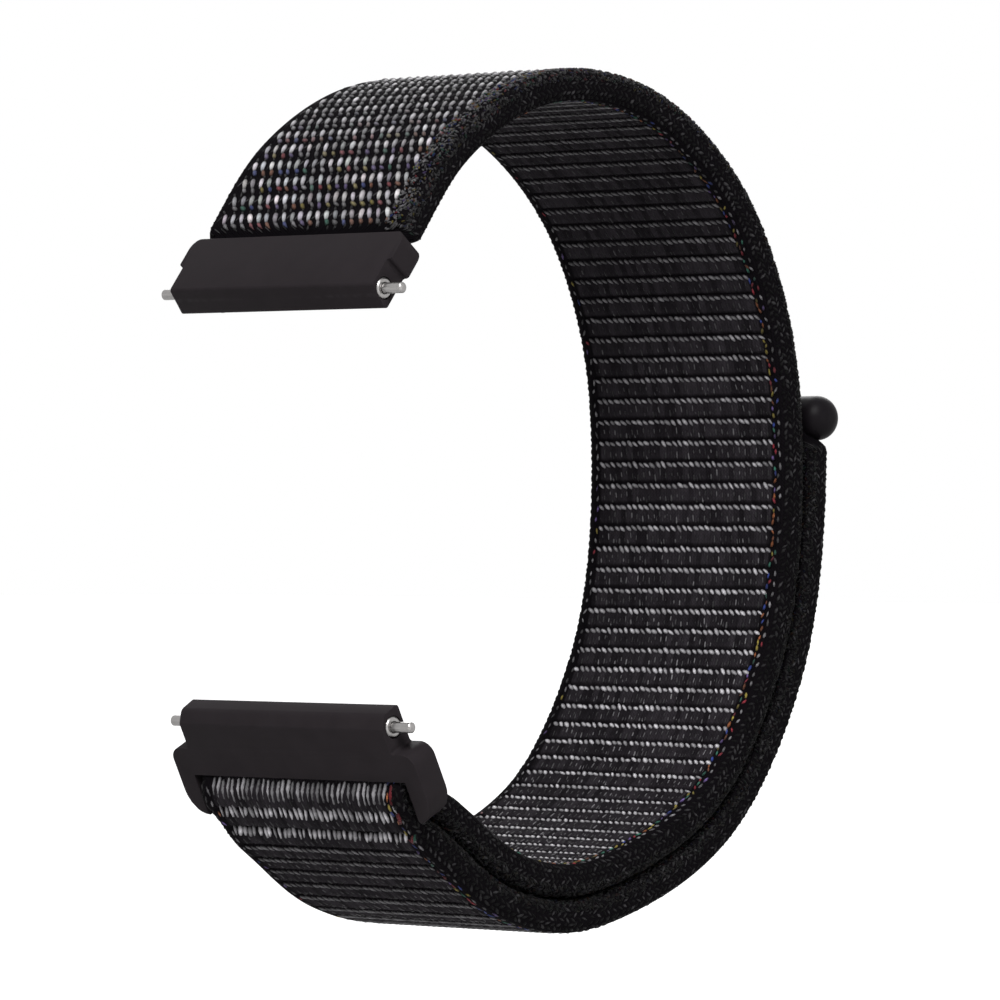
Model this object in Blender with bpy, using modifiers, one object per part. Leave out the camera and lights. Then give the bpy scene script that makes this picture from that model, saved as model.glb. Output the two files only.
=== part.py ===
"""Hook and loop watch strap, modelled as a ring between the lugs of a watch.

Metres, +Z up. The origin is the middle of the upper spring bar. X runs from the open side, where
the watch sits, to the back of the wrist. Y runs across the band.

The band starts in the fixed connector, runs over the top and round the back, passes through the
loop connector from the inside, folds back round its bar, and lies on itself as the tail.
"""
import math
from typing import Sequence

import bmesh
import bpy
import numpy as np
from mathutils import Matrix

# The ring that the band makes
LUG_WIDTH = 0.0200
RING_HEIGHT = 0.0610
RING_DEPTH = 0.0472
LOWER_PIN_SETBACK = 0.0011

# How far the two pins lie above and below the ring's middle, as shares of half its height
UPPER_PIN_SHARE = 0.4754
LOWER_PIN_SHARE = 0.5135

# The woven band
BAND_SETBACK = 0.0002
BAND_THICKNESS = 0.0023
TONGUE_THICKNESS = 0.0012
FOLD_THICKNESS = 0.0012
LAYER_GAP = 0.00032
SELVEDGE_RADIUS = 0.0005
TAIL_LENGTH = 0.0633
TAIL_ROOT_SHARE = 0.475
TAIL_SETTLING_LENGTH = 0.0100
TAIL_END_LIFT = 0.00020
TAIL_LIFTING_LENGTH = 0.0090
THINNING_LENGTH = 0.0040
SEGMENT_GAP = 0.0003
OUTLINE_STEP = 0.0016
FOLD_STEPS = 15

# The middle line of the inner run, as shares of half the ring's depth and half its height
RING_LINE_SHARES = (
    (-0.663, 0.798),
    (-0.248, 0.960),
    (0.221, 0.929),
    (0.600, 0.723),
    (0.812, 0.412),
    (0.865, 0.098),
    (0.765, -0.383),
    (0.477, -0.703),
    (0.108, -0.842),
    (-0.150, -0.880),
    (-0.405, -0.844),
    (-0.611, -0.750),
)

# The hook patch and the moulded tab on the tail's end
HOOK_LENGTH = 0.0200
HOOK_THICKNESS = 0.0005
HOOK_SIDE_MARGIN = 0.0011
HOOK_END_MARGIN = 0.0014
HOOK_ROOT_MARGIN = 0.0024
BOND_GAP = 0.00012
TAB_RADIUS = 0.00165
TAB_SIDE_STAND = 0.0002
TAB_END_RADIUS = 0.0014
TAB_GRIP = 0.0012
TAB_OVERHANG = 0.0006

# The spring bars
BARREL_RADIUS = 0.00075
BARREL_BORE_RADIUS = 0.00050
BARREL_STAND = 0.00005
CRIMP_LENGTH = 0.0005
CRIMP_BORE_RADIUS = 0.00043
TIP_RADIUS = 0.00038
TIP_LENGTH = 0.00175
TIP_CHAMFER = 0.00012
PLUNGER_RADIUS = 0.00045
PLUNGER_LENGTH = 0.0056
PLUG_LENGTH = 0.0022
END_PLAY = 0.00010
PLUNGER_TRAVEL = 0.00140
SPRING_RADIUS = 0.00034
SPRING_WIRE_RADIUS = 0.00009
SPRING_TURNS = 14
SPRING_POINTS_PER_TURN = 9

# The release lever, on the wrist side of each spring bar
LEVER_INSET = 0.0032
LEVER_STEM_RADIUS = 0.00026
LEVER_HEAD_RADIUS = 0.00052
LEVER_HEAD_THICKNESS = 0.00045
LEVER_HEAD_LIFT = 0.00122
LEVER_SLOT_PLAY = 0.00014

# The fixed connector, from its pin along the band and out from the wrist
FIXED_ANGLE = math.radians(52)
CONNECTOR_PLAY = 0.00010
PIN_HOLE_PLAY = 0.00005
FIXED_TOE_REACH = 0.00112
FIXED_BROW_REACH = 0.00055
FIXED_INNER_RISE = 0.00105
FIXED_OUTER_RISE = 0.00112
FIXED_CORNER_RADIUS = 0.00025
COLLAR_START = 0.0017
COLLAR_END = 0.0043
COLLAR_SIDE_STAND = 0.00045
COLLAR_LIP_RADIUS = 0.00025
COLLAR_CORNER_RADIUS = 0.0011
NOTCH_RADIUS = 0.00020
TONGUE_START = 0.0021
TONGUE_PLAY = 0.00010
TONGUE_SIDE_STEP = 0.0003

# The loop connector, from its pin along the band and in towards the wrist
LOOP_ANGLE = math.radians(-62.7)
LOOP_NOSE_REACH = 0.0013
LOOP_INNER_RISE = 0.00105
LOOP_OUTER_RISE = 0.00112
LOOP_BROW_RISE = 0.00050
LOOP_BROW_SETBACK = 0.00010
LOOP_RIDGE_SETBACK = 0.00036
LOOP_LIP_RADIUS = 0.00025
LOOP_NOSE_RADIUS = 0.00060
LOOP_RIDGE_RADIUS = 0.00030
LOOP_FOOT_REACH = 0.0072
LOOP_FOOT_RADIUS = 0.00055
LOOP_BAR_REACH = 0.00535
LOOP_BAR_RISE = -0.00003
LOOP_BAR_RADIUS = 0.00050
LOOP_BAR_PLAY = 0.00010
LOOP_SLOT_PLAY = 0.00015
WINDOW_SIDE_PLAY = 0.0005
EAR_START = 0.00160
EAR_WIDTH = 0.0015
EAR_SHOULDER_RADIUS = 0.0012
EAR_FOOT_RADIUS = 0.0022
FOLD_ANGLE = math.radians(48.5)

# How far a cutter runs past what it cuts, and how finely round things are drawn
OVERRUN = 0.001
WELD_DISTANCE = 0.000001
ROUND_SIDES = 28
CORNER_STEPS = 6
RIM_STEPS = 2
LINE_STEPS_SHARE = 8
FEWEST_STEPS = 3
STRAIGHTEST_CORNER = math.radians(88)
SHARP_EDGE = math.radians(35)

Point = tuple[float, float]

PARTS = "hook_and_loop_watch_strap"
CUTTERS = "cutters"


def clear_scene() -> None:
    """Remove every object, so the script can run again in the same file."""
    for old in list(bpy.data.objects):
        bpy.data.objects.remove(old, do_unlink=True)
    for name in (PARTS, CUTTERS):
        collection = bpy.data.collections.get(name)
        if collection is None:
            collection = bpy.data.collections.new(name)
            bpy.context.scene.collection.children.link(collection)


def make_material(
    name: str, color: Sequence[float], roughness: float, metallic: float
) -> bpy.types.Material:
    """Make one plain Principled material."""
    material = bpy.data.materials.new(name)
    material.use_nodes = True
    shader = material.node_tree.nodes["Principled BSDF"]
    shader.inputs["Base Color"].default_value = (*color, 1.0)
    shader.inputs["Roughness"].default_value = roughness
    shader.inputs["Metallic"].default_value = metallic
    return material


def add_frame(
    name: str, place: Point, turn: float = 0.0, parent: bpy.types.Object | None = None
) -> bpy.types.Object:
    """Add an empty on a joint's axis, turned about Y and placed in its parent's own XZ plane."""
    frame = bpy.data.objects.new(name, None)
    frame.empty_display_size = LUG_WIDTH / 4
    bpy.data.collections[CUTTERS].objects.link(frame)
    frame.parent = parent
    frame.location = (place[0], 0, place[1])
    frame.rotation_euler = (0, turn, 0)
    return frame


def along(place: Point, angle: float, forward: float, left: float) -> Point:
    """Return the point forward and left of a place, facing along an angle in the XZ plane."""
    x = place[0] + forward * math.cos(angle) - left * math.sin(angle)
    z = place[1] + forward * math.sin(angle) + left * math.cos(angle)
    return x, z


# The places that everything follows

UPPER_PIN = (0.0, 0.0)
RING_CENTRE = (RING_DEPTH / 2, -UPPER_PIN_SHARE * RING_HEIGHT / 2)
LOWER_PIN = (LOWER_PIN_SETBACK, RING_CENTRE[1] - LOWER_PIN_SHARE * RING_HEIGHT / 2)
LOOP_BAR = along(LOWER_PIN, LOOP_ANGLE, LOOP_BAR_REACH, LOOP_BAR_RISE)
FOLD_INNER_RADIUS = LOOP_BAR_RADIUS + LOOP_BAR_PLAY
FOLD_RADIUS = FOLD_INNER_RADIUS + FOLD_THICKNESS / 2
SLOT_RADIUS = FOLD_INNER_RADIUS + FOLD_THICKNESS + LOOP_SLOT_PLAY
FOLD_ENTRY = along(LOOP_BAR, FOLD_ANGLE, FOLD_RADIUS, 0)
BAND_WIDTH = LUG_WIDTH - 2 * BAND_SETBACK
TONGUE_WIDTH = BAND_WIDTH - 2 * TONGUE_SIDE_STEP
NOSE_WIDTH = LUG_WIDTH - 2 * CONNECTOR_PLAY
BARREL_LENGTH = NOSE_WIDTH + 2 * BARREL_STAND
WINDOW_WIDTH = BAND_WIDTH + 2 * WINDOW_SIDE_PLAY
PIN_HOLE_RADIUS = BARREL_RADIUS + PIN_HOLE_PLAY
LAYER_SPACING = BAND_THICKNESS + LAYER_GAP
TAB_WIDTH = BAND_WIDTH + 2 * TAB_SIDE_STAND
TAIL_END_LENGTH = HOOK_ROOT_MARGIN + HOOK_LENGTH + HOOK_END_MARGIN
TAIL_ROOT_LENGTH = (TAIL_LENGTH - TAIL_END_LENGTH) * TAIL_ROOT_SHARE


class RingLine:
    """The middle line of the band's inner run, measured from its end in the fixed connector."""

    def __init__(self) -> None:
        mouth = along(UPPER_PIN, FIXED_ANGLE, COLLAR_END, 0)
        half_depth = RING_DEPTH / 2
        half_height = RING_HEIGHT / 2
        ring = np.array(RING_CENTRE) + np.array(RING_LINE_SHARES) * (half_depth, half_height)
        knots = np.vstack([[mouth], ring, [FOLD_ENTRY]])
        leaving = np.array([math.cos(FIXED_ANGLE), math.sin(FIXED_ANGLE)])
        arriving = np.array([-math.sin(FOLD_ANGLE), math.cos(FOLD_ANGLE)])
        tongue = along(UPPER_PIN, FIXED_ANGLE, TONGUE_START, 0)
        self.points = np.vstack([[tongue], smooth_through(knots, leaving, arriving)])
        steps = np.linalg.norm(np.diff(self.points, axis=0), axis=1)
        self.distances = np.concatenate([[0.0], np.cumsum(steps)])
        self.length = float(self.distances[-1])

    def at(self, distance: np.ndarray, offset: np.ndarray) -> np.ndarray:
        """Return the points at these distances, moved outwards by these offsets."""
        reach = OUTLINE_STEP / 4
        before = self.middle(np.clip(distance - reach, 0, self.length))
        after = self.middle(np.clip(distance + reach, 0, self.length))
        run = after - before
        size = np.hypot(run[:, 0], run[:, 1])
        outwards = np.column_stack([-run[:, 1], run[:, 0]]) / size[:, None]
        return self.middle(distance) + outwards * np.broadcast_to(offset, size.shape)[:, None]

    def middle(self, distance: np.ndarray) -> np.ndarray:
        """Return the points on the line at these distances."""
        x = np.interp(distance, self.distances, self.points[:, 0])
        z = np.interp(distance, self.distances, self.points[:, 1])
        return np.column_stack([x, z])


def smooth_through(knots: np.ndarray, leaving: np.ndarray, arriving: np.ndarray) -> np.ndarray:
    """Draw a cubic curve through the knots, leaving and arriving in the given directions."""
    spans = np.linalg.norm(np.diff(knots, axis=0), axis=1)
    slopes = np.diff(knots, axis=0) / spans[:, None]
    tangents = np.empty_like(knots)
    tangents[0] = leaving
    tangents[-1] = arriving
    for i in range(1, len(knots) - 1):
        before, after = spans[i - 1], spans[i]
        tangents[i] = (slopes[i - 1] * after + slopes[i] * before) / (before + after)
    drawn = [knots[:1]]
    for i, span in enumerate(spans):
        count = max(FEWEST_STEPS, math.ceil(LINE_STEPS_SHARE * span / OUTLINE_STEP))
        t = np.linspace(0, 1, count)[1:, None]
        start = (1 + 2 * t) * (1 - t) ** 2 * knots[i] + t * (1 - t) ** 2 * span * tangents[i]
        end = t**2 * (3 - 2 * t) * knots[i + 1] + t**2 * (t - 1) * span * tangents[i + 1]
        drawn.append(start + end)
    return np.vstack(drawn)


def ease(value: np.ndarray) -> np.ndarray:
    """Blend from 0 to 1 with flat ends."""
    share = np.clip(value, 0, 1)
    return share * share * (3 - 2 * share)


LINE = RingLine()
COLLAR_DEPTH = COLLAR_END - TONGUE_START


def run_half_thickness(distance: np.ndarray) -> np.ndarray:
    """Return half the inner run's thickness: thinner in the collar and by the loop's bar."""
    from_collar = ease((distance - COLLAR_DEPTH) / (THINNING_LENGTH / 4))
    from_fold = ease((LINE.length - distance) / THINNING_LENGTH)
    thickness = TONGUE_THICKNESS + (BAND_THICKNESS - TONGUE_THICKNESS) * from_collar
    return (thickness - (BAND_THICKNESS - FOLD_THICKNESS) * (1 - from_fold)) / 2


def tail_offset(tail_distance: np.ndarray) -> np.ndarray:
    """Return how far the tail's middle line lies outside the inner run's."""
    settled = ease(tail_distance / TAIL_SETTLING_LENGTH)
    lifted = ease((tail_distance - TAIL_LENGTH + TAIL_LIFTING_LENGTH) / TAIL_LIFTING_LENGTH)
    return 2 * FOLD_RADIUS + (LAYER_SPACING - 2 * FOLD_RADIUS) * settled + TAIL_END_LIFT * lifted


def tail_half_thickness(tail_distance: np.ndarray) -> np.ndarray:
    """Return half the tail's thickness: it leaves the fold as thin as the fold."""
    return (FOLD_THICKNESS + (BAND_THICKNESS - FOLD_THICKNESS) * ease(tail_distance / THINNING_LENGTH)) / 2


def steps_between(start: float, end: float) -> np.ndarray:
    """Return evenly spaced distances, about one outline step apart."""
    return np.linspace(start, end, max(FEWEST_STEPS, round((end - start) / OUTLINE_STEP) + 1))


def strip(low: np.ndarray, high: np.ndarray) -> list[Point]:
    """Close two lines that run the same way into one outline."""
    return [tuple(p) for p in np.vstack([low, high[::-1]])]


def tail_point(tail_distance: float, offset: float) -> Point:
    """Return a point on the tail, this far from its middle line, outwards."""
    at = np.array([tail_distance])
    return tuple(LINE.at(LINE.length - at, tail_offset(at) + offset)[0])


def rounded(corners: Sequence[tuple[float, float, float]]) -> list[Point]:
    """Return an outline through corners given as x, z and a fillet radius."""
    outline = []
    count = len(corners)
    for i, (x, z, radius) in enumerate(corners):
        corner = np.array([x, z])
        before = np.array(corners[i - 1][:2]) - corner
        after = np.array(corners[(i + 1) % count][:2]) - corner
        before_size, after_size = np.linalg.norm(before), np.linalg.norm(after)
        before, after = before / before_size, after / after_size
        half = math.acos(float(np.clip(before @ after, -1, 1))) / 2
        if radius == 0 or half > STRAIGHTEST_CORNER:
            outline.append((x, z))
            continue
        reach = min(radius / math.tan(half), before_size / 2, after_size / 2)
        fillet = reach * math.tan(half)
        middle = corner + (before + after) / np.linalg.norm(before + after) * fillet / math.sin(half)
        first = corner + before * reach - middle
        last = corner + after * reach - middle
        for share in np.linspace(0, 1, CORNER_STEPS + 1):
            ray = first * (1 - share) + last * share
            outline.append(tuple(middle + ray / np.linalg.norm(ray) * fillet))
    return outline


# Shapes

def finish_object(
    obj: bpy.types.Object, collection: str, material: bpy.types.Material | None
) -> bpy.types.Object:
    """Give an object its collection and material, and shade its round faces smooth."""
    for old in list(obj.users_collection):
        old.objects.unlink(obj)
    bpy.data.collections[collection].objects.link(obj)
    obj.data.materials.clear()
    if material is not None:
        obj.data.materials.append(material)
    obj.data.shade_smooth()
    obj.data.set_sharp_from_angle(angle=SHARP_EDGE)
    if collection == CUTTERS:
        obj.hide_render = True
        obj.display_type = "WIRE"
    return obj


def extrusion(
    name: str, outline: Sequence[Point], width: float, rim: float, plain_ends: Sequence[Point] = ()
) -> bpy.types.Object:
    """Extrude a flat outline in the XZ plane across the band, with rounded rims.

    The outline's edges whose middles are in plain_ends keep square rims.
    """
    curve = bpy.data.curves.new(name, "CURVE")
    curve.dimensions = "2D"
    curve.fill_mode = "BOTH"
    curve.extrude = width / 2
    spline = curve.splines.new("POLY")
    spline.points.add(len(outline) - 1)
    spline.use_cyclic_u = True
    for point, (x, z) in zip(spline.points, outline):
        point.co = (x, z, 0, 1)
    guide = bpy.data.objects.new(name + "_outline", curve)
    bpy.context.scene.collection.objects.link(guide)
    evaluated = guide.evaluated_get(bpy.context.evaluated_depsgraph_get())
    mesh = bpy.data.meshes.new_from_object(evaluated)
    bpy.data.objects.remove(guide)
    bpy.data.curves.remove(curve)
    mesh.name = name
    solid = bmesh.new()
    solid.from_mesh(mesh)
    bmesh.ops.remove_doubles(solid, verts=solid.verts, dist=WELD_DISTANCE)
    bmesh.ops.rotate(solid, verts=solid.verts, matrix=Matrix.Rotation(math.pi / 2, 3, "X"))
    for side in (-1, 1):
        edge_of_cap = side * width / 2
        cap = [f for f in solid.faces if all(abs(v.co.y - edge_of_cap) < WELD_DISTANCE for v in f.verts)]
        bmesh.ops.dissolve_faces(solid, faces=cap)
    bmesh.ops.recalc_face_normals(solid, faces=solid.faces)
    weights = solid.edges.layers.float.new("bevel_weight_edge")
    for edge in solid.edges:
        first, last = edge.verts
        on_rim = abs(first.co.y - last.co.y) < WELD_DISTANCE
        middle = (first.co + last.co) / 2
        plain = any(math.hypot(middle.x - x, middle.z - z) < WELD_DISTANCE for x, z in plain_ends)
        edge[weights] = 1.0 if on_rim and not plain else 0.0
    solid.to_mesh(mesh)
    solid.free()
    obj = bpy.data.objects.new(name, mesh)
    bpy.context.scene.collection.objects.link(obj)
    if rim > 0:
        bevel = obj.modifiers.new("rims", "BEVEL")
        bevel.width = rim
        bevel.segments = RIM_STEPS
        bevel.limit_method = "WEIGHT"
    return obj


def turned(name: str, profile: Sequence[Point], facing: float = 1.0) -> bpy.types.Object:
    """Turn a profile of radius and height about the Y axis, with its top towards +Y or -Y.

    The profile runs down its outer side. A profile that doesn't start on the axis is closed.
    """
    solid = bmesh.new()
    corners = [solid.verts.new((radius, 0, height)) for radius, height in profile]
    for first, last in zip(corners, corners[1:]):
        solid.edges.new((first, last))
    if profile[0][0] > 0:
        solid.edges.new((corners[-1], corners[0]))
    mesh = bpy.data.meshes.new(name)
    solid.to_mesh(mesh)
    solid.free()
    obj = bpy.data.objects.new(name, mesh)
    bpy.context.scene.collection.objects.link(obj)
    screw = obj.modifiers.new("turn", "SCREW")
    screw.steps = ROUND_SIDES
    screw.render_steps = ROUND_SIDES
    screw.use_merge_vertices = True
    screw.merge_threshold = WELD_DISTANCE
    obj.rotation_euler.x = -facing * math.pi / 2
    return obj


def box_cutter(name: str, middle: Sequence[float], size: Sequence[float]) -> bpy.types.Object:
    """Add a box that only cuts."""
    bpy.ops.mesh.primitive_cube_add(size=1, location=middle)
    box = bpy.context.active_object
    box.name = name
    box.scale = size
    return finish_object(box, CUTTERS, None)


def rod(name: str, radius: float, length: float, middle: Sequence[float]) -> bpy.types.Object:
    """Add a cylinder along Y."""
    turn = (math.pi / 2, 0, 0)
    bpy.ops.mesh.primitive_cylinder_add(
        vertices=ROUND_SIDES, radius=radius, depth=length, location=middle, rotation=turn
    )
    cylinder = bpy.context.active_object
    cylinder.name = name
    return finish_object(cylinder, CUTTERS, None)


def combine(obj: bpy.types.Object, tool: bpy.types.Object, operation: str) -> None:
    """Join a tool to an object or cut the object with it; the tool stands in the object's frame."""
    if tool.users_collection[0].name != CUTTERS:
        finish_object(tool, CUTTERS, None)
    tool.parent = obj.parent
    tool.location += obj.location
    modifier = obj.modifiers.new(tool.name, "BOOLEAN")
    modifier.operation = operation
    modifier.solver = "EXACT"
    modifier.object = tool


def finish_piece(
    obj: bpy.types.Object, frame: bpy.types.Object, material: bpy.types.Material
) -> bpy.types.Object:
    """Put a finished piece in the parts and hang it on its frame."""
    obj.parent = frame
    return finish_object(obj, PARTS, material)


# The connectors

def lever_slot(name: str, width_play: float, depth_sign: float) -> bpy.types.Object:
    """Return the cutter of the slot that a release lever slides in, in its spring bar's frame."""
    width = 2 * (LEVER_STEM_RADIUS + width_play)
    length = PLUNGER_TRAVEL + width
    middle_y = BARREL_LENGTH / 2 - LEVER_INSET - PLUNGER_TRAVEL / 2
    depth = LEVER_HEAD_LIFT + OVERRUN
    return box_cutter(name, (0, middle_y, depth_sign * depth / 2), (width, length, depth))


def cut_to_plan(body: bpy.types.Object, name: str, plan: Sequence[tuple[float, float, float]]) -> None:
    """Cut a connector's slab to its plan.

    The plan's corners are given as reach, half width and fillet radius along one side.
    """
    mirrored = [(reach, -half, radius) for reach, half, radius in reversed(plan)]
    tool = extrusion(name, rounded([*plan, *mirrored]), LUG_WIDTH, 0)
    tool.rotation_euler.x = math.pi / 2
    combine(body, tool, "INTERSECT")


def make_fixed_connector(frame: bpy.types.Object, material: bpy.types.Material) -> None:
    """Make the connector that holds the band's end: a nose between the lugs and a wider collar."""
    profile = rounded([
        (-FIXED_TOE_REACH, -FIXED_INNER_RISE, FIXED_CORNER_RADIUS),
        (COLLAR_END, -FIXED_INNER_RISE, COLLAR_LIP_RADIUS),
        (COLLAR_END, FIXED_OUTER_RISE, COLLAR_LIP_RADIUS),
        (-FIXED_BROW_REACH, FIXED_OUTER_RISE, FIXED_CORNER_RADIUS),
    ])
    nose_half = NOSE_WIDTH / 2
    collar_half = nose_half + COLLAR_SIDE_STAND
    plan = [
        (-FIXED_TOE_REACH - OVERRUN, nose_half, 0),
        (COLLAR_START, nose_half, NOTCH_RADIUS),
        (COLLAR_START, collar_half, NOTCH_RADIUS),
        (COLLAR_END, collar_half, COLLAR_CORNER_RADIUS),
    ]
    slot_half = TONGUE_THICKNESS / 2 + TONGUE_PLAY
    slot = [
        (TONGUE_START - TONGUE_PLAY, -slot_half),
        (COLLAR_END + OVERRUN, -slot_half),
        (COLLAR_END + OVERRUN, slot_half),
        (TONGUE_START - TONGUE_PLAY, slot_half),
    ]
    body = extrusion("fixed_connector", profile, 2 * (collar_half + OVERRUN), 0)
    finish_piece(body, frame, material)
    cut_to_plan(body, "fixed_plan", plan)
    combine(body, extrusion("fixed_tongue_slot", slot, TONGUE_WIDTH + 2 * TONGUE_PLAY, 0), "DIFFERENCE")
    combine(body, rod("fixed_pin_hole", PIN_HOLE_RADIUS, LUG_WIDTH + OVERRUN, (0, 0, 0)), "DIFFERENCE")
    combine(body, lever_slot("fixed_lever_slot", 2 * LEVER_SLOT_PLAY, -1), "DIFFERENCE")


def make_loop_connector(frame: bpy.types.Object, material: bpy.types.Material) -> None:
    """Make the connector that the band folds through: a flat slab with a nose, two ears and a bar."""
    profile = rounded([
        (-LOOP_NOSE_REACH, LOOP_INNER_RISE, LOOP_LIP_RADIUS),
        (LOOP_BROW_SETBACK - LOOP_NOSE_REACH, -LOOP_BROW_RISE, LOOP_NOSE_RADIUS),
        (-LOOP_RIDGE_SETBACK, -LOOP_OUTER_RISE, LOOP_RIDGE_RADIUS),
        (LOOP_FOOT_REACH, -LOOP_OUTER_RISE, LOOP_FOOT_RADIUS),
        (LOOP_FOOT_REACH, LOOP_INNER_RISE, LOOP_FOOT_RADIUS),
    ])
    nose_half = NOSE_WIDTH / 2
    ear_half = WINDOW_WIDTH / 2 + EAR_WIDTH
    plan = [
        (-LOOP_NOSE_REACH - OVERRUN, nose_half, 0),
        (EAR_START, nose_half, NOTCH_RADIUS),
        (EAR_START, ear_half, EAR_SHOULDER_RADIUS),
        (LOOP_FOOT_REACH, ear_half, EAR_FOOT_RADIUS),
    ]
    gap_length = LOOP_FOOT_REACH + OVERRUN - LOOP_BAR_REACH
    gap_middle = (LOOP_BAR_REACH + gap_length / 2, 0, 0)
    gap_size = (gap_length, WINDOW_WIDTH, LUG_WIDTH)
    bar_place = (LOOP_BAR_REACH, 0, LOOP_BAR_RISE)
    body = extrusion("loop_connector", profile, 2 * (ear_half + OVERRUN), 0)
    body.location = (-LOOP_BAR_REACH, 0, -LOOP_BAR_RISE)
    finish_piece(body, frame, material)
    cut_to_plan(body, "loop_plan", plan)
    combine(body, rod("loop_window", SLOT_RADIUS, WINDOW_WIDTH, bar_place), "DIFFERENCE")
    combine(body, box_cutter("loop_foot_gap", gap_middle, gap_size), "DIFFERENCE")
    combine(body, rod("loop_bar", LOOP_BAR_RADIUS, WINDOW_WIDTH + EAR_WIDTH, bar_place), "UNION")
    combine(body, rod("loop_pin_hole", PIN_HOLE_RADIUS, LUG_WIDTH + OVERRUN, (0, 0, 0)), "DIFFERENCE")
    combine(body, lever_slot("loop_lever_slot", 2 * LEVER_SLOT_PLAY, 1), "DIFFERENCE")


# The spring bars

def make_spring_bar(side: str, frame: bpy.types.Object, steel: bpy.types.Material) -> None:
    """Make one spring bar: barrel, fixed plug, sprung plunger, spring and release lever."""
    end = BARREL_LENGTH / 2
    barrel = turned(side + "_bar_barrel", [
        (BARREL_RADIUS - TIP_CHAMFER, end),
        (BARREL_RADIUS, end - TIP_CHAMFER),
        (BARREL_RADIUS, TIP_CHAMFER - end),
        (BARREL_RADIUS - TIP_CHAMFER, -end),
        (CRIMP_BORE_RADIUS, -end),
        (CRIMP_BORE_RADIUS, CRIMP_LENGTH - end),
        (BARREL_BORE_RADIUS, CRIMP_LENGTH - end),
        (BARREL_BORE_RADIUS, end - CRIMP_LENGTH),
        (CRIMP_BORE_RADIUS, end - CRIMP_LENGTH),
        (CRIMP_BORE_RADIUS, end),
    ])
    finish_piece(barrel, frame, steel)
    combine(barrel, lever_slot(side + "_barrel_slot", LEVER_SLOT_PLAY, -1), "DIFFERENCE")
    for name, length, facing in (("_bar_plug", PLUG_LENGTH, -1.0), ("_bar_plunger", PLUNGER_LENGTH, 1.0)):
        pin = turned(side + name, [
            (0, end + TIP_LENGTH),
            (TIP_RADIUS - TIP_CHAMFER, end + TIP_LENGTH),
            (TIP_RADIUS, end + TIP_LENGTH - TIP_CHAMFER),
            (TIP_RADIUS, end - CRIMP_LENGTH - END_PLAY),
            (PLUNGER_RADIUS, end - CRIMP_LENGTH - END_PLAY),
            (PLUNGER_RADIUS, end - length),
            (0, end - length),
        ], facing)
        finish_piece(pin, frame, steel)
    lever = turned(side + "_release_lever", [
        (0, -PLUNGER_RADIUS - BOND_GAP),
        (LEVER_STEM_RADIUS, -PLUNGER_RADIUS - BOND_GAP),
        (LEVER_STEM_RADIUS, -LEVER_HEAD_LIFT),
        (LEVER_HEAD_RADIUS, -LEVER_HEAD_LIFT),
        (LEVER_HEAD_RADIUS, -LEVER_HEAD_LIFT - LEVER_HEAD_THICKNESS + TIP_CHAMFER),
        (LEVER_HEAD_RADIUS - TIP_CHAMFER, -LEVER_HEAD_LIFT - LEVER_HEAD_THICKNESS),
        (0, -LEVER_HEAD_LIFT - LEVER_HEAD_THICKNESS),
    ], 0.0)
    lever.location.y = end - LEVER_INSET
    finish_piece(lever, frame, steel)
    make_spring(side + "_bar_spring", frame, steel)


def spring_points() -> np.ndarray:
    """Return the points along a spring bar's spring: a helix with a straight end at each side."""
    start = PLUG_LENGTH - BARREL_LENGTH / 2 + END_PLAY
    end = BARREL_LENGTH / 2 - PLUNGER_LENGTH - END_PLAY
    straight = 2 * SPRING_WIRE_RADIUS
    count = SPRING_TURNS * SPRING_POINTS_PER_TURN + 1
    turns = np.linspace(0, SPRING_TURNS * 2 * math.pi, count)
    heights = np.linspace(start + straight, end - straight, count)
    helix = np.column_stack([SPRING_RADIUS * np.cos(turns), heights, SPRING_RADIUS * np.sin(turns)])
    return np.vstack([[(SPRING_RADIUS, start, 0)], helix, [(SPRING_RADIUS, end, 0)]])


def least_gap(points: np.ndarray, radius: float, skipped: int) -> float:
    """Return the least gap between a tube's turns, leaving out the points next along it."""
    apart = np.linalg.norm(points[:, None] - points[None], axis=2)
    order = np.arange(len(points))
    neighbours = np.abs(order[:, None] - order[None]) < skipped
    return float(apart[~neighbours].min()) - 2 * radius


def make_spring(name: str, frame: bpy.types.Object, steel: bpy.types.Material) -> None:
    """Wind the spring between the plug and the plunger, and print its least gap to itself."""
    points = spring_points()
    curve = bpy.data.curves.new(name, "CURVE")
    curve.dimensions = "3D"
    curve.bevel_depth = SPRING_WIRE_RADIUS
    curve.bevel_resolution = 1
    curve.use_fill_caps = True
    spline = curve.splines.new("POLY")
    spline.points.add(len(points) - 1)
    for point, place in zip(spline.points, points):
        point.co = (*place, 1)
    obj = bpy.data.objects.new(name, curve)
    bpy.data.collections[PARTS].objects.link(obj)
    curve.materials.append(steel)
    obj.parent = frame
    gap = least_gap(points, SPRING_WIRE_RADIUS, SPRING_POINTS_PER_TURN - 1)
    print(name, "least gap to itself, in metres", round(gap, 6))


# The band and what is on it

def band_piece(
    name: str, outline: Sequence[Point], frame: bpy.types.Object, place: Point, material: bpy.types.Material
) -> None:
    """Extrude a band outline, with its two cut ends square and its selvedges rounded."""
    shifted = [(x - place[0], z - place[1]) for x, z in outline]
    count = len(shifted) // 2
    cuts = [(shifted[count - 1], shifted[count]), (shifted[-1], shifted[0])]
    middles = [((a[0] + b[0]) / 2, (a[1] + b[1]) / 2) for a, b in cuts]
    piece = extrusion(name, shifted, BAND_WIDTH, SELVEDGE_RADIUS, middles)
    finish_piece(piece, frame, material)


def run_outline() -> list[Point]:
    """Outline the inner run, from the fixed connector's collar to the fold."""
    distance = np.concatenate([[0.0], steps_between(COLLAR_DEPTH, LINE.length - SEGMENT_GAP)])
    half = run_half_thickness(distance)
    return strip(LINE.at(distance, -half), LINE.at(distance, half))


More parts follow.
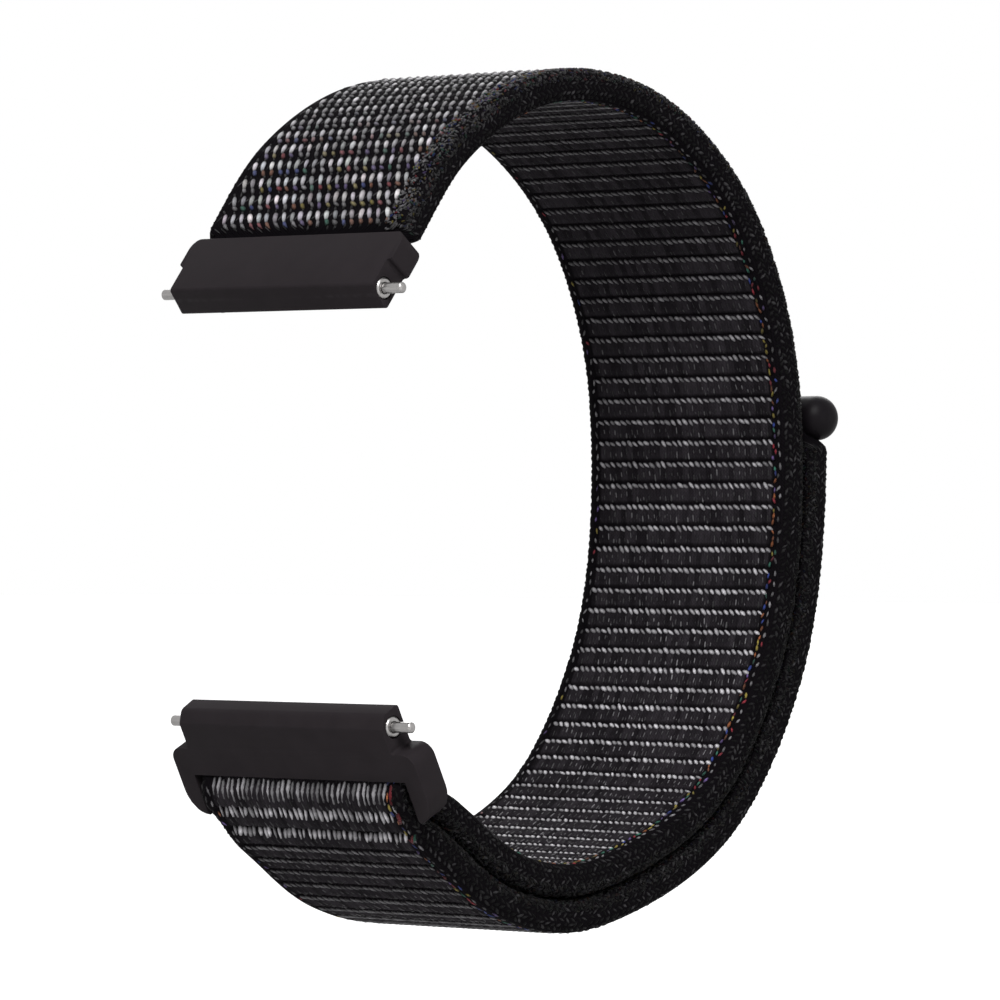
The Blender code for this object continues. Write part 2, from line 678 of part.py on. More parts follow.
def fold_outline() -> list[Point]:
    """Outline the fold round the loop connector's bar."""
    turns = np.linspace(FOLD_ANGLE, FOLD_ANGLE + math.pi, FOLD_STEPS + 1)
    rays = np.column_stack([np.cos(turns), np.sin(turns)])
    outer_radius = FOLD_INNER_RADIUS + FOLD_THICKNESS
    return strip(LOOP_BAR + rays * FOLD_INNER_RADIUS, LOOP_BAR + rays * outer_radius)


def tail_outline(start: float, end: float) -> list[Point]:
    """Outline a stretch of the tail between two distances from the fold."""
    tail = steps_between(start, end)
    offset = tail_offset(tail)
    half = tail_half_thickness(tail)
    distance = LINE.length - tail
    return strip(LINE.at(distance, offset - half), LINE.at(distance, offset + half))


def hook_stretch() -> tuple[float, float]:
    """Return the tail distances that the hook patch runs between."""
    end = TAIL_LENGTH - HOOK_END_MARGIN
    return end - HOOK_LENGTH, end


def make_band(frame: bpy.types.Object, material: bpy.types.Material) -> None:
    """Make the inner run and the fold."""
    band_piece("band_run", run_outline(), frame, (0, 0), material)
    run = bpy.data.objects["band_run"]
    corners = (
        (TONGUE_START - OVERRUN, -BAND_THICKNESS),
        (COLLAR_END + TONGUE_PLAY, -BAND_THICKNESS),
        (COLLAR_END + TONGUE_PLAY, BAND_THICKNESS),
        (TONGUE_START - OVERRUN, BAND_THICKNESS),
    )
    beside = [along(UPPER_PIN, FIXED_ANGLE, forward, left) for forward, left in corners]
    for name, side in (("far_tongue_side", 1), ("near_tongue_side", -1)):
        tool = extrusion(name, beside, 2 * OVERRUN, 0)
        tool.location.y = side * (TONGUE_WIDTH / 2 + OVERRUN)
        combine(run, tool, "DIFFERENCE")
    band_piece("band_fold", fold_outline(), frame, (0, 0), material)


def make_tail(
    frame: bpy.types.Object,
    fabric: bpy.types.Material,
    hooks: bpy.types.Material,
    plastic: bpy.types.Material,
) -> None:
    """Make the tail's three stretches, each on a hinge line at its outer face, with patch and tab."""
    starts = (SEGMENT_GAP, TAIL_ROOT_LENGTH, TAIL_LENGTH - TAIL_END_LENGTH)
    ends = (starts[1] - SEGMENT_GAP, starts[2] - SEGMENT_GAP, TAIL_LENGTH)
    parent, parent_place = frame, (0.0, 0.0)
    for name, start, end in zip(("tail_root", "tail_mid", "tail_end"), starts, ends):
        half = float(tail_half_thickness(np.array([start]))[0])
        place = tail_point(start, half)
        step = (place[0] - parent_place[0], place[1] - parent_place[1])
        hinge = add_frame(name + "_hinge", step, 0, parent)
        band_piece(name, tail_outline(start, end), hinge, place, fabric)
        parent, parent_place = hinge, place
    tail_end = bpy.data.objects["tail_end"]
    make_hook_patch(tail_end, parent, parent_place, hooks)
    make_end_tab(parent, parent_place, plastic)


def inner_layer(start: float, end: float, depth: float, lift: float) -> list[Point]:
    """Outline a layer on the tail's inner face, between a lift above that face and a depth in it."""
    tail = steps_between(start, end)
    face = tail_offset(tail) - BAND_THICKNESS / 2
    distance = LINE.length - tail
    return strip(LINE.at(distance, face - lift), LINE.at(distance, face + depth))


def make_hook_patch(
    tail_end: bpy.types.Object, hinge: bpy.types.Object, place: Point, material: bpy.types.Material
) -> None:
    """Let the hook patch into the tail's inner face."""
    start, end = hook_stretch()
    width = BAND_WIDTH - 2 * HOOK_SIDE_MARGIN
    patch = [(x - place[0], z - place[1]) for x, z in inner_layer(start, end, HOOK_THICKNESS, 0)]
    recess_layer = inner_layer(start - BOND_GAP, end + BOND_GAP, HOOK_THICKNESS + BOND_GAP, OVERRUN)
    recess = [(x - place[0], z - place[1]) for x, z in recess_layer]
    finish_piece(extrusion("hook_patch", patch, width, 0), hinge, material)
    combine(tail_end, extrusion("hook_recess", recess, width + 2 * BOND_GAP, 0), "DIFFERENCE")


def make_end_tab(hinge: bpy.types.Object, place: Point, material: bpy.types.Material) -> None:
    """Mould the round tab on the tail's end, open towards the inner run."""
    middle_distance = TAIL_LENGTH - TAB_GRIP + TAB_RADIUS
    rise = TAB_RADIUS - BAND_THICKNESS / 2 + TAB_OVERHANG
    middle = tail_point(middle_distance, rise)
    end = TAB_WIDTH / 2
    rim = [
        (TAB_RADIUS - TAB_END_RADIUS * (1 - math.cos(turn)), end - TAB_END_RADIUS * (1 - math.sin(turn)))
        for turn in np.linspace(math.pi / 2, 0, CORNER_STEPS + 1)
    ]
    profile = [(0, end), *rim, *[(radius, -height) for radius, height in reversed(rim)], (0, -end)]
    tab = turned("end_tab", profile)
    tab.location = (middle[0] - place[0], 0, middle[1] - place[1])
    finish_piece(tab, hinge, material)
    seat_start = TAIL_LENGTH - 2 * TAB_GRIP
    seat = inner_layer(seat_start, TAIL_LENGTH + BOND_GAP, BAND_THICKNESS + BOND_GAP, OVERRUN)
    local = [(x - middle[0], z - middle[1]) for x, z in seat]
    combine(tab, extrusion("tab_seat", local, TAB_WIDTH + OVERRUN, 0), "DIFFERENCE")


def main() -> None:
    """Build the whole strap."""
    clear_scene()
    charcoal = make_material("charcoal_plastic", (0.022, 0.020, 0.022), 0.45, 0.0)
    weave = make_material("black_weave", (0.012, 0.011, 0.013), 0.85, 0.0)
    hooks = make_material("black_hooks", (0.010, 0.010, 0.011), 0.7, 0.0)
    gloss = make_material("black_tab_plastic", (0.008, 0.008, 0.009), 0.3, 0.0)
    steel = make_material("spring_bar_steel", (0.62, 0.61, 0.60), 0.25, 1.0)
    band = add_frame("band_frame", UPPER_PIN)
    fixed = add_frame("fixed_connector_frame", UPPER_PIN, -FIXED_ANGLE, band)
    loop = add_frame("loop_swing", LOOP_BAR, -LOOP_ANGLE, band)
    upper_bar = add_frame("upper_bar_axis", UPPER_PIN, 0, fixed)
    lower_bar = add_frame("lower_bar_axis", (-LOOP_BAR_REACH, -LOOP_BAR_RISE), math.pi, loop)
    make_fixed_connector(fixed, charcoal)
    make_loop_connector(loop, charcoal)
    make_spring_bar("upper", upper_bar, steel)
    make_spring_bar("lower", lower_bar, steel)
    make_band(band, weave)
    make_tail(band, weave, hooks, gloss)


main()
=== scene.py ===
"""Looks of the hook and loop watch strap: woven band, moulded connectors, end tab and steel bars.

Metres, +Z up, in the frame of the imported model: the origin is the middle of the upper spring bar,
X runs from the open side to the back of the wrist, and Y runs across the band.

The whole band is one path: the inner run, the fold round the loop connector's bar, and the tail.
Its skin face is the run's inner side and the tail's outer side, and its pile face is the other.
"""
import logging
import math
from dataclasses import dataclass, field
from enum import Enum

import bmesh
import bpy
import numpy as np
from mathutils import Matrix, Vector


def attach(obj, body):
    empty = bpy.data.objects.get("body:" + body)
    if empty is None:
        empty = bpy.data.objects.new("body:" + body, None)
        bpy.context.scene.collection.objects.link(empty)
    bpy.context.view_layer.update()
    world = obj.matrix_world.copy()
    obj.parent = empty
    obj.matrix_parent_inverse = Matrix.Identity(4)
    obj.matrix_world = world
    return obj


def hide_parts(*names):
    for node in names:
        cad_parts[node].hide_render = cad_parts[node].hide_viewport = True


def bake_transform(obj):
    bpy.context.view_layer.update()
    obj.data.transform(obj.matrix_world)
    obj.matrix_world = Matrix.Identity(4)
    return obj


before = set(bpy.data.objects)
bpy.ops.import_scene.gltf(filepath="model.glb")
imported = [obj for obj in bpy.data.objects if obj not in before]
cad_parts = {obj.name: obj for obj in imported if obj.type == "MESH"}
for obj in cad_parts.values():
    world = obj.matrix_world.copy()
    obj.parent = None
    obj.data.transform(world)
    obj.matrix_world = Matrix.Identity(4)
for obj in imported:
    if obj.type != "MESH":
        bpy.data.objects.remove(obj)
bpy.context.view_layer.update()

LOG = logging.getLogger("watch_strap")
MM = 0.001

# The band's sizes, as the part's source has them
RING_HEIGHT = 0.0610
RING_DEPTH = 0.0472
UPPER_PIN_SHARE = 0.4754
BAND_WIDTH = 0.0196
TONGUE_WIDTH = 0.0190
BAND_THICKNESS = 0.0023
TONGUE_THICKNESS = 0.0012
FOLD_THICKNESS = 0.0012
LAYER_SPACING = 0.00262
FOLD_RADIUS = 0.0012
FOLD_ANGLE = math.radians(48.5)
FIXED_ANGLE = math.radians(52)
LOOP_BAR = (0.003527, -0.034929)
COLLAR_END = 0.0043
TONGUE_START = 0.0021
COLLAR_DEPTH = COLLAR_END - TONGUE_START
THINNING_LENGTH = 0.0040
TAIL_LENGTH = 0.0633
TAIL_SETTLING_LENGTH = 0.0100
TAIL_END_LIFT = 0.00020
TAIL_LIFTING_LENGTH = 0.0090
TAIL_END_START = TAIL_LENGTH - 0.0238
TAIL_MID_START = TAIL_END_START * 0.475
TAB_RADIUS = 0.00165
TAB_GRIP = 0.0012
TAB_OVERHANG = 0.0006
RING_LINE_SHARES = (
    (-0.663, 0.798), (-0.248, 0.960), (0.221, 0.929), (0.600, 0.723), (0.812, 0.412), (0.865, 0.098),
    (0.765, -0.383), (0.477, -0.703), (0.108, -0.842), (-0.150, -0.880), (-0.405, -0.844), (-0.611, -0.750),
)

# The weave, measured along and across the band
RIB_PITCH = 0.00162
RIB_START = 0.00131
THREAD_PITCH = 0.000555
ROW_PITCH = 0.00160
FLAT_HALF = 0.00903
ROW_START = 0.00050
STITCH_PITCH = 0.000833

# The length of cloth that bends at each of the tail's joints
BEND_LENGTH = 0.0050

# How the looks are drawn
WEAVE_SEED = 2024
SHADE_SEED = 71


def ease(value: np.ndarray) -> np.ndarray:
    """Blend from 0 to 1 with flat ends: 3 t squared less 2 t cubed."""
    share = np.clip(value, 0, 1)
    return share * share * (3 - 2 * share)


def facing(distance: np.ndarray, at: np.ndarray, line: np.ndarray, reach: float) -> tuple[np.ndarray, np.ndarray]:
    """Find places on a drawn line, and the way a quarter turn to its right there.

    That way is the chord between the points this far behind and ahead, turned and made 1 long.

    Args:
        distance: how far along the line each place is.
        at: the distance of each drawn point.
        line: the drawn points.
        reach: how far the chord reaches each way.

    Returns:
        The points, and the directions.
    """
    behind, point, ahead = (
        np.stack([np.interp(distance + step, at, line[:, k]) for k in (0, 1)], -1) for step in (-reach, 0, reach)
    )
    run = ahead - behind
    turned = np.stack([run[..., 1], -run[..., 0]], -1)
    return point, turned / np.hypot(run[..., 0], run[..., 1])[..., None]


def past(distance: np.ndarray, start: float, length: float) -> np.ndarray:
    """How far a change with this start and length has come at a distance, from 0 to 1."""
    return ease((distance - start) / length)


def hermite(knots: np.ndarray, leaving: np.ndarray, arriving: np.ndarray, step: float) -> np.ndarray:
    """Draw a cubic curve through knots.

    Each inner tangent is the mean of the two slopes beside it, each weighted by the other's span.

    Args:
        knots: the points that the curve passes through.
        leaving: the direction at the first knot.
        arriving: the direction at the last knot.
        step: the greatest distance between two drawn points.

    Returns:
        The drawn points.
    """
    spans = np.linalg.norm(np.diff(knots, axis=0), axis=1)
    slopes = np.diff(knots, axis=0) / spans[:, None]
    weights = spans[:, None]
    inner = (slopes[:-1] * weights[1:] + slopes[1:] * weights[:-1]) / (weights[:-1] + weights[1:])
    tangents = np.vstack([leaving, inner, arriving])
    drawn = [knots[:1]]
    for i, span in enumerate(spans):
        t = np.linspace(0, 1, max(3, math.ceil(span / step)))[1:, None]
        start = (1 + 2 * t) * (1 - t) ** 2 * knots[i] + t * (1 - t) ** 2 * span * tangents[i]
        end = t**2 * (3 - 2 * t) * knots[i + 1] + t**2 * (t - 1) * span * tangents[i + 1]
        drawn.append(start + end)
    return np.vstack(drawn)


@dataclass
class BandPath:
    """The band's middle line in the XZ plane, from the fixed connector round to the tail's end.

    Points are drawn a set step apart, and directions are taken over a set reach both ways.

    Attributes:
        corner: the radius of its selvedges, before the thickness limits it.
        run_length: the length of the inner run.
        fold_length: the length of the fold's middle line.
    """

    corner: float = 0.00075
    run_length: float = field(init=False)
    fold_length: float = field(init=False)

    DRAWN_STEP = 0.0002
    RUN_REACH = 0.0004
    REACH = 0.0003

    def __post_init__(self) -> None:
        """Draw the run, the fold and the tail as one dense line, and measure it."""
        half = np.array([RING_DEPTH / 2, RING_HEIGHT / 2])
        centre = np.array([RING_DEPTH / 2, -UPPER_PIN_SHARE * RING_HEIGHT / 2])
        leaving = np.array([math.cos(FIXED_ANGLE), math.sin(FIXED_ANGLE)])
        radial = np.array([math.cos(FOLD_ANGLE), math.sin(FOLD_ANGLE)])
        entry = np.array(LOOP_BAR) + FOLD_RADIUS * radial
        knots = np.vstack([leaving * COLLAR_END, centre + np.array(RING_LINE_SHARES) * half, entry])
        curve = hermite(knots, leaving, np.array([-radial[1], radial[0]]), self.DRAWN_STEP)
        run = np.vstack([[leaving * TONGUE_START], curve])
        run_at = np.concatenate([[0.0], np.cumsum(np.linalg.norm(np.diff(run, axis=0), axis=1))])
        self.run_length = float(run_at[-1])
        self.fold_length = math.pi * FOLD_RADIUS
        turns = np.linspace(0, math.pi, 60)[1:] + FOLD_ANGLE
        fold = np.array(LOOP_BAR) + FOLD_RADIUS * np.column_stack([np.cos(turns), np.sin(turns)])
        back = np.arange(self.DRAWN_STEP, TAIL_LENGTH + 0.0021, self.DRAWN_STEP)
        point, inwards = facing(self.run_length - back, run_at, run, self.RUN_REACH)
        tail = point - inwards * self._tail_offset(back)[:, None]
        self._line = np.vstack([run, fold, tail])
        self._at = np.concatenate([
            run_at,
            self.run_length + FOLD_RADIUS * (turns - FOLD_ANGLE),
            self.run_length + self.fold_length + back,
        ])

    @staticmethod
    def _tail_offset(tail: np.ndarray) -> np.ndarray:
        """How far the tail's middle line lies outside the run's: it eases from the fold's width."""
        settled = ease(tail / TAIL_SETTLING_LENGTH)
        lifted = ease((tail - TAIL_LENGTH + TAIL_LIFTING_LENGTH) / TAIL_LIFTING_LENGTH)
        return 2 * FOLD_RADIUS + (LAYER_SPACING - 2 * FOLD_RADIUS) * settled + TAIL_END_LIFT * lifted

    @property
    def tail_start(self) -> float:
        """The distance at which the tail leaves the fold."""
        return self.run_length + self.fold_length

    @property
    def length(self) -> float:
        """The distance of the tail's end."""
        return self.tail_start + TAIL_LENGTH

    def half_thickness(self, distance: np.ndarray) -> np.ndarray:
        """Half the band's thickness: thin in the collar, full in the run and tail, thin in the fold."""
        from_collar = ease((distance - COLLAR_DEPTH) / (THINNING_LENGTH / 4))
        before = (self.run_length - distance) / THINNING_LENGTH
        after = (distance - self.tail_start) / THINNING_LENGTH
        from_fold = ease(np.maximum(before, after))
        thickness = TONGUE_THICKNESS + (BAND_THICKNESS - TONGUE_THICKNESS) * from_collar
        return (thickness - (BAND_THICKNESS - FOLD_THICKNESS) * (1 - from_fold)) / 2

    def axes(self, distance: np.ndarray) -> tuple[np.ndarray, np.ndarray]:
        """The middle line's points at these distances, and the skin face's direction there.

        The direction is the line's tangent turned a quarter to the right.
        """
        return facing(distance, self._at, self._line, self.REACH)

    def half_width(self, distance: np.ndarray) -> np.ndarray:
        """Half the band's width: a little less in the fixed connector's collar and in the end bead."""
        full = ease((distance - COLLAR_DEPTH) / (0.4 * MM))
        tucked = 1.3 * MM * ease((distance - self.length + 1.7 * MM) / (1.2 * MM))
        return (TONGUE_WIDTH + (BAND_WIDTH - TONGUE_WIDTH) * full) / 2 - tucked

    def half_girth(self, distance: np.ndarray) -> np.ndarray:
        """Half the length round the section, from the skin face's middle to the pile face's."""
        half = self.half_thickness(distance)
        corner = np.minimum(self.corner, half)
        return 2 * (self.half_width(distance) - corner) + math.pi * corner + 2 * (half - corner)

    def place(self, distance: np.ndarray, round_at: np.ndarray, lift: np.ndarray) -> np.ndarray:
        """Points on the band's surface, lifted from it.

        The section is a rounded rectangle. A place on it is measured round from the middle of the
        skin face, towards +Y where it is above 0: along the skin face, round the corner's quarter
        circle, down the side, round the second corner, and back along the pile face.

        Args:
            distance: how far along the band.
            round_at: how far round the section.
            lift: how far out from the surface.

        Returns:
            The points, with the arrays' shape and a last axis of 3.
        """
        distance, round_at, lift = np.broadcast_arrays(distance, round_at, lift)
        half = self.half_thickness(distance)
        corner = np.minimum(self.corner, half)
        flat = self.half_width(distance) - corner
        quarter = math.pi / 2 * corner
        side = 2 * (half - corner)
        q = np.abs(round_at)
        first = np.clip((q - flat) / corner, 0, math.pi / 2)
        second = np.clip((q - flat - quarter - side) / corner, 0, math.pi / 2)
        turn = first + second
        down = np.clip(q - flat - quarter, 0, side)
        back = np.clip(q - flat - 2 * quarter - side, 0, None)
        middle_y = flat - back
        y = np.where(q < flat, q, middle_y + corner * np.sin(turn))
        z = np.where(turn < math.pi / 2, half - corner, half - corner - down) + corner * np.cos(turn)
        y = y + lift * np.sin(turn)
        z = z + lift * np.cos(turn)
        line, normal = self.axes(distance)
        return np.stack([
            line[..., 0] + normal[..., 0] * z,
            y * np.where(round_at < 0, -1.0, 1.0),
            line[..., 1] + normal[..., 1] * z,
        ], -1)

    def on_pile(self, distance: np.ndarray, across: np.ndarray) -> np.ndarray:
        """How far round the section a place across the pile face is."""
        return np.where(across < 0, -1.0, 1.0) * (self.half_girth(distance) - np.abs(across))


PATH = BandPath()


# Meshes

def new_object(name: str, data: bpy.types.ID) -> bpy.types.Object:
    """Put a mesh, a lamp or a camera into the scene."""
    obj = bpy.data.objects.new(name, data)
    bpy.context.scene.collection.objects.link(obj)
    return obj


def crossings(*axes: np.ndarray) -> list[np.ndarray]:
    """Every combination of these values, each axis as one flat array."""
    return [values.ravel() for values in np.meshgrid(*axes, indexing="ij")]


def tube_faces(rows: int, columns: int) -> np.ndarray:
    """The quads of a tube, one row of four point numbers each.

    Args:
        rows: how many rings of points it has.
        columns: how many points in a ring.

    Returns:
        The quads, row after row of the tube.
    """
    i, j = np.meshgrid(np.arange(rows - 1), np.arange(columns), indexing="ij")
    after = (j + 1) % columns
    quads = np.stack([i * columns + j, i * columns + after, (i + 1) * columns + after, (i + 1) * columns + j], -1)
    return quads.reshape(-1, 4)


def end_fans(rows: int, columns: int) -> np.ndarray:
    """The triangles that close a tube onto two points, which are numbered after its own.

    Args:
        rows: how many rings of points it has.
        columns: how many points in a ring.

    Returns:
        One row of three point numbers for each triangle, first those of the first end.
    """
    first = np.arange(columns)
    after = (first + 1) % columns
    middle, last = np.full(columns, rows * columns), (rows - 1) * columns
    return np.vstack([
        np.column_stack([middle, after, first]), np.column_stack([middle + 1, last + first, last + after])
    ])


@dataclass
class Surface:
    """A mesh in arrays: points, polygons, and what each point carries.

    Attributes:
        points: one row of X, Y and Z for each point.
        quads: one row of four point numbers for each quad.
        fans: one row of three point numbers for each triangle.
        colour: one row of red, green and blue for each point, linear.
        yarn: two coordinates for each point: along its yarn, and round it.
    """

    points: np.ndarray
    quads: np.ndarray
    fans: np.ndarray = field(default_factory=lambda: np.zeros((0, 3), int))
    colour: np.ndarray | None = None
    yarn: np.ndarray | None = None

    def make(self, name: str, material: bpy.types.Material) -> bpy.types.Object:
        """Put the arrays into a new object whose origin is the model's own."""
        mesh = bpy.data.meshes.new(name)
        corners = np.concatenate([self.quads.ravel(), self.fans.ravel()]).astype(np.int32)
        starts = np.concatenate([
            np.arange(len(self.quads)) * 4, len(self.quads) * 4 + np.arange(len(self.fans)) * 3
        ]).astype(np.int32)
        mesh.vertices.add(len(self.points))
        mesh.loops.add(len(corners))
        mesh.polygons.add(len(starts))
        mesh.vertices.foreach_set("co", self.points.astype(np.float32).ravel())
        mesh.loops.foreach_set("vertex_index", corners)
        mesh.polygons.foreach_set("loop_start", starts)
        mesh.update(calc_edges=True)
        mesh.validate()
        if self.colour is not None:
            tint = mesh.attributes.new("yarn_colour", "FLOAT_COLOR", "POINT")
            rgba = np.column_stack([self.colour, np.ones(len(self.colour))])
            tint.data.foreach_set("color", rgba.astype(np.float32).ravel())
        if self.yarn is not None:
            layer = mesh.uv_layers.new(name="yarn")
            layer.data.foreach_set("uv", self.yarn[corners].astype(np.float32).ravel())
        mesh.shade_smooth()
        mesh.materials.append(material)
        return new_object(name, mesh)


@dataclass(frozen=True)
class Bead:
    """The template of one short stretch of yarn that shows on the cloth, closed at both ends.

    Attributes:
        rings: how many rings of points between its two ends.
        sides: how many points in a ring.
        skew: how much wider than its middle its far end would be.
    """

    rings: int = 4
    sides: int = 6
    skew: float = 0.0

    def template(self) -> tuple[np.ndarray, np.ndarray, np.ndarray, np.ndarray]:
        """One almond of half length 1 and half width 1.

        A ring at turn t from the end has its middle at minus cos t and its radius at sin t to the
        power 0.8, so the almond is fuller than an ellipsoid.

        Returns:
            The points (along, across, up), quads, end triangles, and yarn coordinates.
        """
        turn = np.linspace(0, math.pi, self.rings + 2)[1:-1]
        round_turn = np.linspace(0, 2 * math.pi, self.sides, endpoint=False) + math.pi / 2
        along = np.repeat(-np.cos(turn), self.sides)
        radius = np.repeat(np.sin(turn) ** 0.8 * (1 - self.skew * np.cos(turn)), self.sides)
        angle = np.tile(round_turn, self.rings)
        ring_points = np.column_stack([along, radius * np.cos(angle), radius * np.sin(angle)])
        points = np.vstack([ring_points, [[-1, 0, 0], [1, 0, 0]]])
        quads = tube_faces(self.rings, self.sides)[:, ::-1]
        fans = end_fans(self.rings, self.sides)[:, [0, 2, 1]]
        yarn = np.column_stack([points[:, 0], np.concatenate([angle / (2 * math.pi), [0, 0]])])
        return points, quads, fans, yarn


@dataclass
class Threads:
    """Many short stretches of yarn on the band, each given by one entry of every array.

    Attributes:
        distance: how far along the band each middle is.
        round_at: how far round the section each middle is.
        heading: the angle from the band's run to the way that round_at grows, in radians.
        length: each full length.
        width: each full width.
        rise: how far each one's top stands above the cloth's nominal surface, or one number for all.
        height: each full thickness, or one number for all.
        colour: one row of red, green and blue for each.
    """

    distance: np.ndarray
    round_at: np.ndarray
    heading: np.ndarray
    length: np.ndarray
    width: np.ndarray
    rise: np.ndarray | float
    height: np.ndarray | float
    colour: np.ndarray

    def __post_init__(self) -> None:
        """Give every stretch its own rise and height."""
        self.rise = np.broadcast_to(self.rise, self.distance.shape)
        self.height = np.broadcast_to(self.height, self.distance.shape)

    def only(self, kept: np.ndarray) -> "Threads":
        """The stretches that are marked here, without the rest."""
        return Threads(**{name: values[kept] for name, values in vars(self).items()})

    def surface(self, bead: Bead) -> Surface:
        """Lay the template on the band for every stretch, as one mesh.

        Each has a painted highlight on top of its middle, and painted shade towards its ends and down its sides,
        where it dips into the cloth.
        """
        points, quads, fans, yarn = bead.template()
        count, size = len(self.distance), len(points)
        a = points[None, :, 0] * self.length[:, None] / 2
        b = points[None, :, 1] * self.width[:, None] / 2
        sine, cosine = np.sin(self.heading)[:, None], np.cos(self.heading)[:, None]
        distance = self.distance[:, None] + a * cosine - b * sine
        round_at = self.round_at[:, None] + a * sine + b * cosine
        lift = self.rise[:, None] - self.height[:, None] / 2 + points[None, :, 2] * self.height[:, None] / 2
        placed = PATH.place(distance, round_at, lift).reshape(-1, 3)
        step = (np.arange(count) * size)[:, None, None]
        all_quads = (quads[None] + step).reshape(-1, 4)
        all_fans = (fans[None] + step).reshape(-1, 3)
        grain = np.tile(yarn, (count, 1)) + np.repeat(np.arange(count) * 0.37, size)[:, None]
        # Painted highlight on each stretch's top, and painted shade towards its ends and sides, multiplied into its
        # colour.
        painted_light_and_shade = np.tile((1.3 - 0.95 * points[:, 0] ** 2) * (0.22 + 0.78 * np.clip(points[:, 2], 0, 1) ** 1.5), count)
        colour = np.repeat(self.colour, size, axis=0) * painted_light_and_shade[:, None]
        return Surface(placed, all_quads, all_fans, colour, grain)


# The weave

@dataclass(frozen=True)
class HookField:
    """The hook patch let into the pile face at the tail's end, with its rows of moulded hooks.

    Attributes:
        length: its length along the band.
        end_margin: how far it stops short of the tail's end.
        half_width: half its width.
        recess: how deep its back lies in the pile face.
        base: the thickness of its back.
        pitch: the distance between two rows, and between two hooks.
        stem: a hook's width and depth at its foot.
        height: how far a hook's stem rises before it curls.
        curl: the radius of its curl.
    """

    length: float = 0.0200
    end_margin: float = 0.0014
    half_width: float = BAND_WIDTH / 2 - 0.0011
    recess: float = 0.0005
    base: float = 0.00020
    pitch: float = 0.00072
    stem: tuple[float, float] = (0.00026, 0.00020)
    height: float = 0.00016
    curl: float = 0.00013

    GRID = (41, 35)
    NEAR_MARGIN = 0.5 * MM
    FAR_MARGIN = 0.4 * MM
    TUCK = 0.02 * MM
    STAGGER = 0.8
    CURL_TURNS = (0, 40, 80, 115, 150)
    TIP_SHARE = 0.55

    @property
    def span(self) -> tuple[float, float]:
        """The distances between which it lies along the band."""
        end = PATH.length - self.end_margin
        return end - self.length, end

    def inside(self, distance: np.ndarray, across: np.ndarray) -> np.ndarray:
        """The share of its recess at a place: 1 inside its outline, and 0 outside."""
        start, end = self.span
        along = np.minimum(distance - start, end - distance)
        return ease(np.minimum(along, self.half_width - np.abs(across)) / (0.05 * MM) + 1)

    def clear(self, threads: Threads) -> Threads:
        """Leave out the stretches of yarn whose middles lie on it."""
        across = PATH.half_girth(threads.distance) - np.abs(threads.round_at)
        return threads.only(self.inside(threads.distance, np.abs(across)) < 0.5)

    def surface(self) -> Surface:
        """Draw its back as a closed plate, and every hook as a curled bar closed at its tip.

        A hook's middle line rises straight, then turns through 150 degrees along the band. Hooks in
        neighbouring rows curl opposite ways.
        """
        start, end = self.span
        along = np.linspace(start, end, self.GRID[0])
        across = np.linspace(-self.half_width, self.half_width, self.GRID[1])
        ring = np.concatenate([across, across[::-1]])
        lift = np.repeat([self.base - self.recess, -self.recess - self.TUCK], len(across))
        plate = self._placed(along[:, None], ring[None], lift[None]).reshape(-1, 3)
        columns = len(ring)
        j = np.arange(len(across) - 1)
        cap = np.column_stack([j, j + 1, columns - 2 - j, columns - 1 - j])
        far_cap = (cap + (len(along) - 1) * columns)[:, ::-1]
        quads = [tube_faces(len(along), columns)[:, ::-1], cap, far_cap]
        hook, hook_quads = self._hook()
        rows = np.arange(start + self.NEAR_MARGIN, end - self.FAR_MARGIN, self.pitch)
        places = np.arange(-self.half_width + self.NEAR_MARGIN, self.half_width - self.FAR_MARGIN, self.pitch)
        row, y = crossings(rows, places)
        turn = np.where(np.rint((row - rows[0]) / self.pitch) % 2 > 0, 1.0, -1.0)
        y = y + np.where(turn > 0, self.pitch / 2, 0) * self.STAGGER
        a = row[:, None] + turn[:, None] * hook[None, :, 0]
        b = y[:, None] + turn[:, None] * hook[None, :, 1]
        hooks = self._placed(a, b, self.base - self.recess + hook[None, :, 2])
        first = len(plate) + np.arange(len(row))[:, None, None] * len(hook)
        quads.append((hook_quads[None] + first).reshape(-1, 4))
        return Surface(np.vstack([plate, hooks.reshape(-1, 3)]), np.vstack(quads))

    @staticmethod
    def _placed(distance: np.ndarray, across: np.ndarray, lift: np.ndarray) -> np.ndarray:
        """Points on the pile face, lifted from it."""
        return PATH.place(distance, PATH.on_pile(distance, across), lift)

    def _hook(self) -> tuple[np.ndarray, np.ndarray]:
        """One hook's points (along, across, up) and quads."""
        turn = np.radians(self.CURL_TURNS)
        line = np.vstack([
            [[0, -0.01 * MM], [0, self.height * 0.5]],
            np.column_stack([self.curl * (1 - np.cos(turn)), self.height + self.curl * np.sin(turn)]),
        ])
        heading = np.concatenate([[0, 0], turn])
        size = np.linspace(1.0, self.TIP_SHARE, len(line))
        wide, deep = self.stem[0] / 2 * size, self.stem[1] / 2 * size
        aside = np.column_stack([np.cos(heading), -np.sin(heading)])
        rings = [
            np.column_stack([line[:, 0] + s * deep * aside[:, 0], t * wide, line[:, 1] + s * deep * aside[:, 1]])
            for s, t in ((-1, -1), (1, -1), (1, 1), (-1, 1))
        ]
        points = np.stack(rings, 1).reshape(-1, 3)
        last = (len(line) - 1) * 4
        caps = np.array([[3, 2, 1, 0], [last, last + 1, last + 2, last + 3]])
        return points, np.vstack([tube_faces(len(line), 4), caps])


HOOKS = HookField()


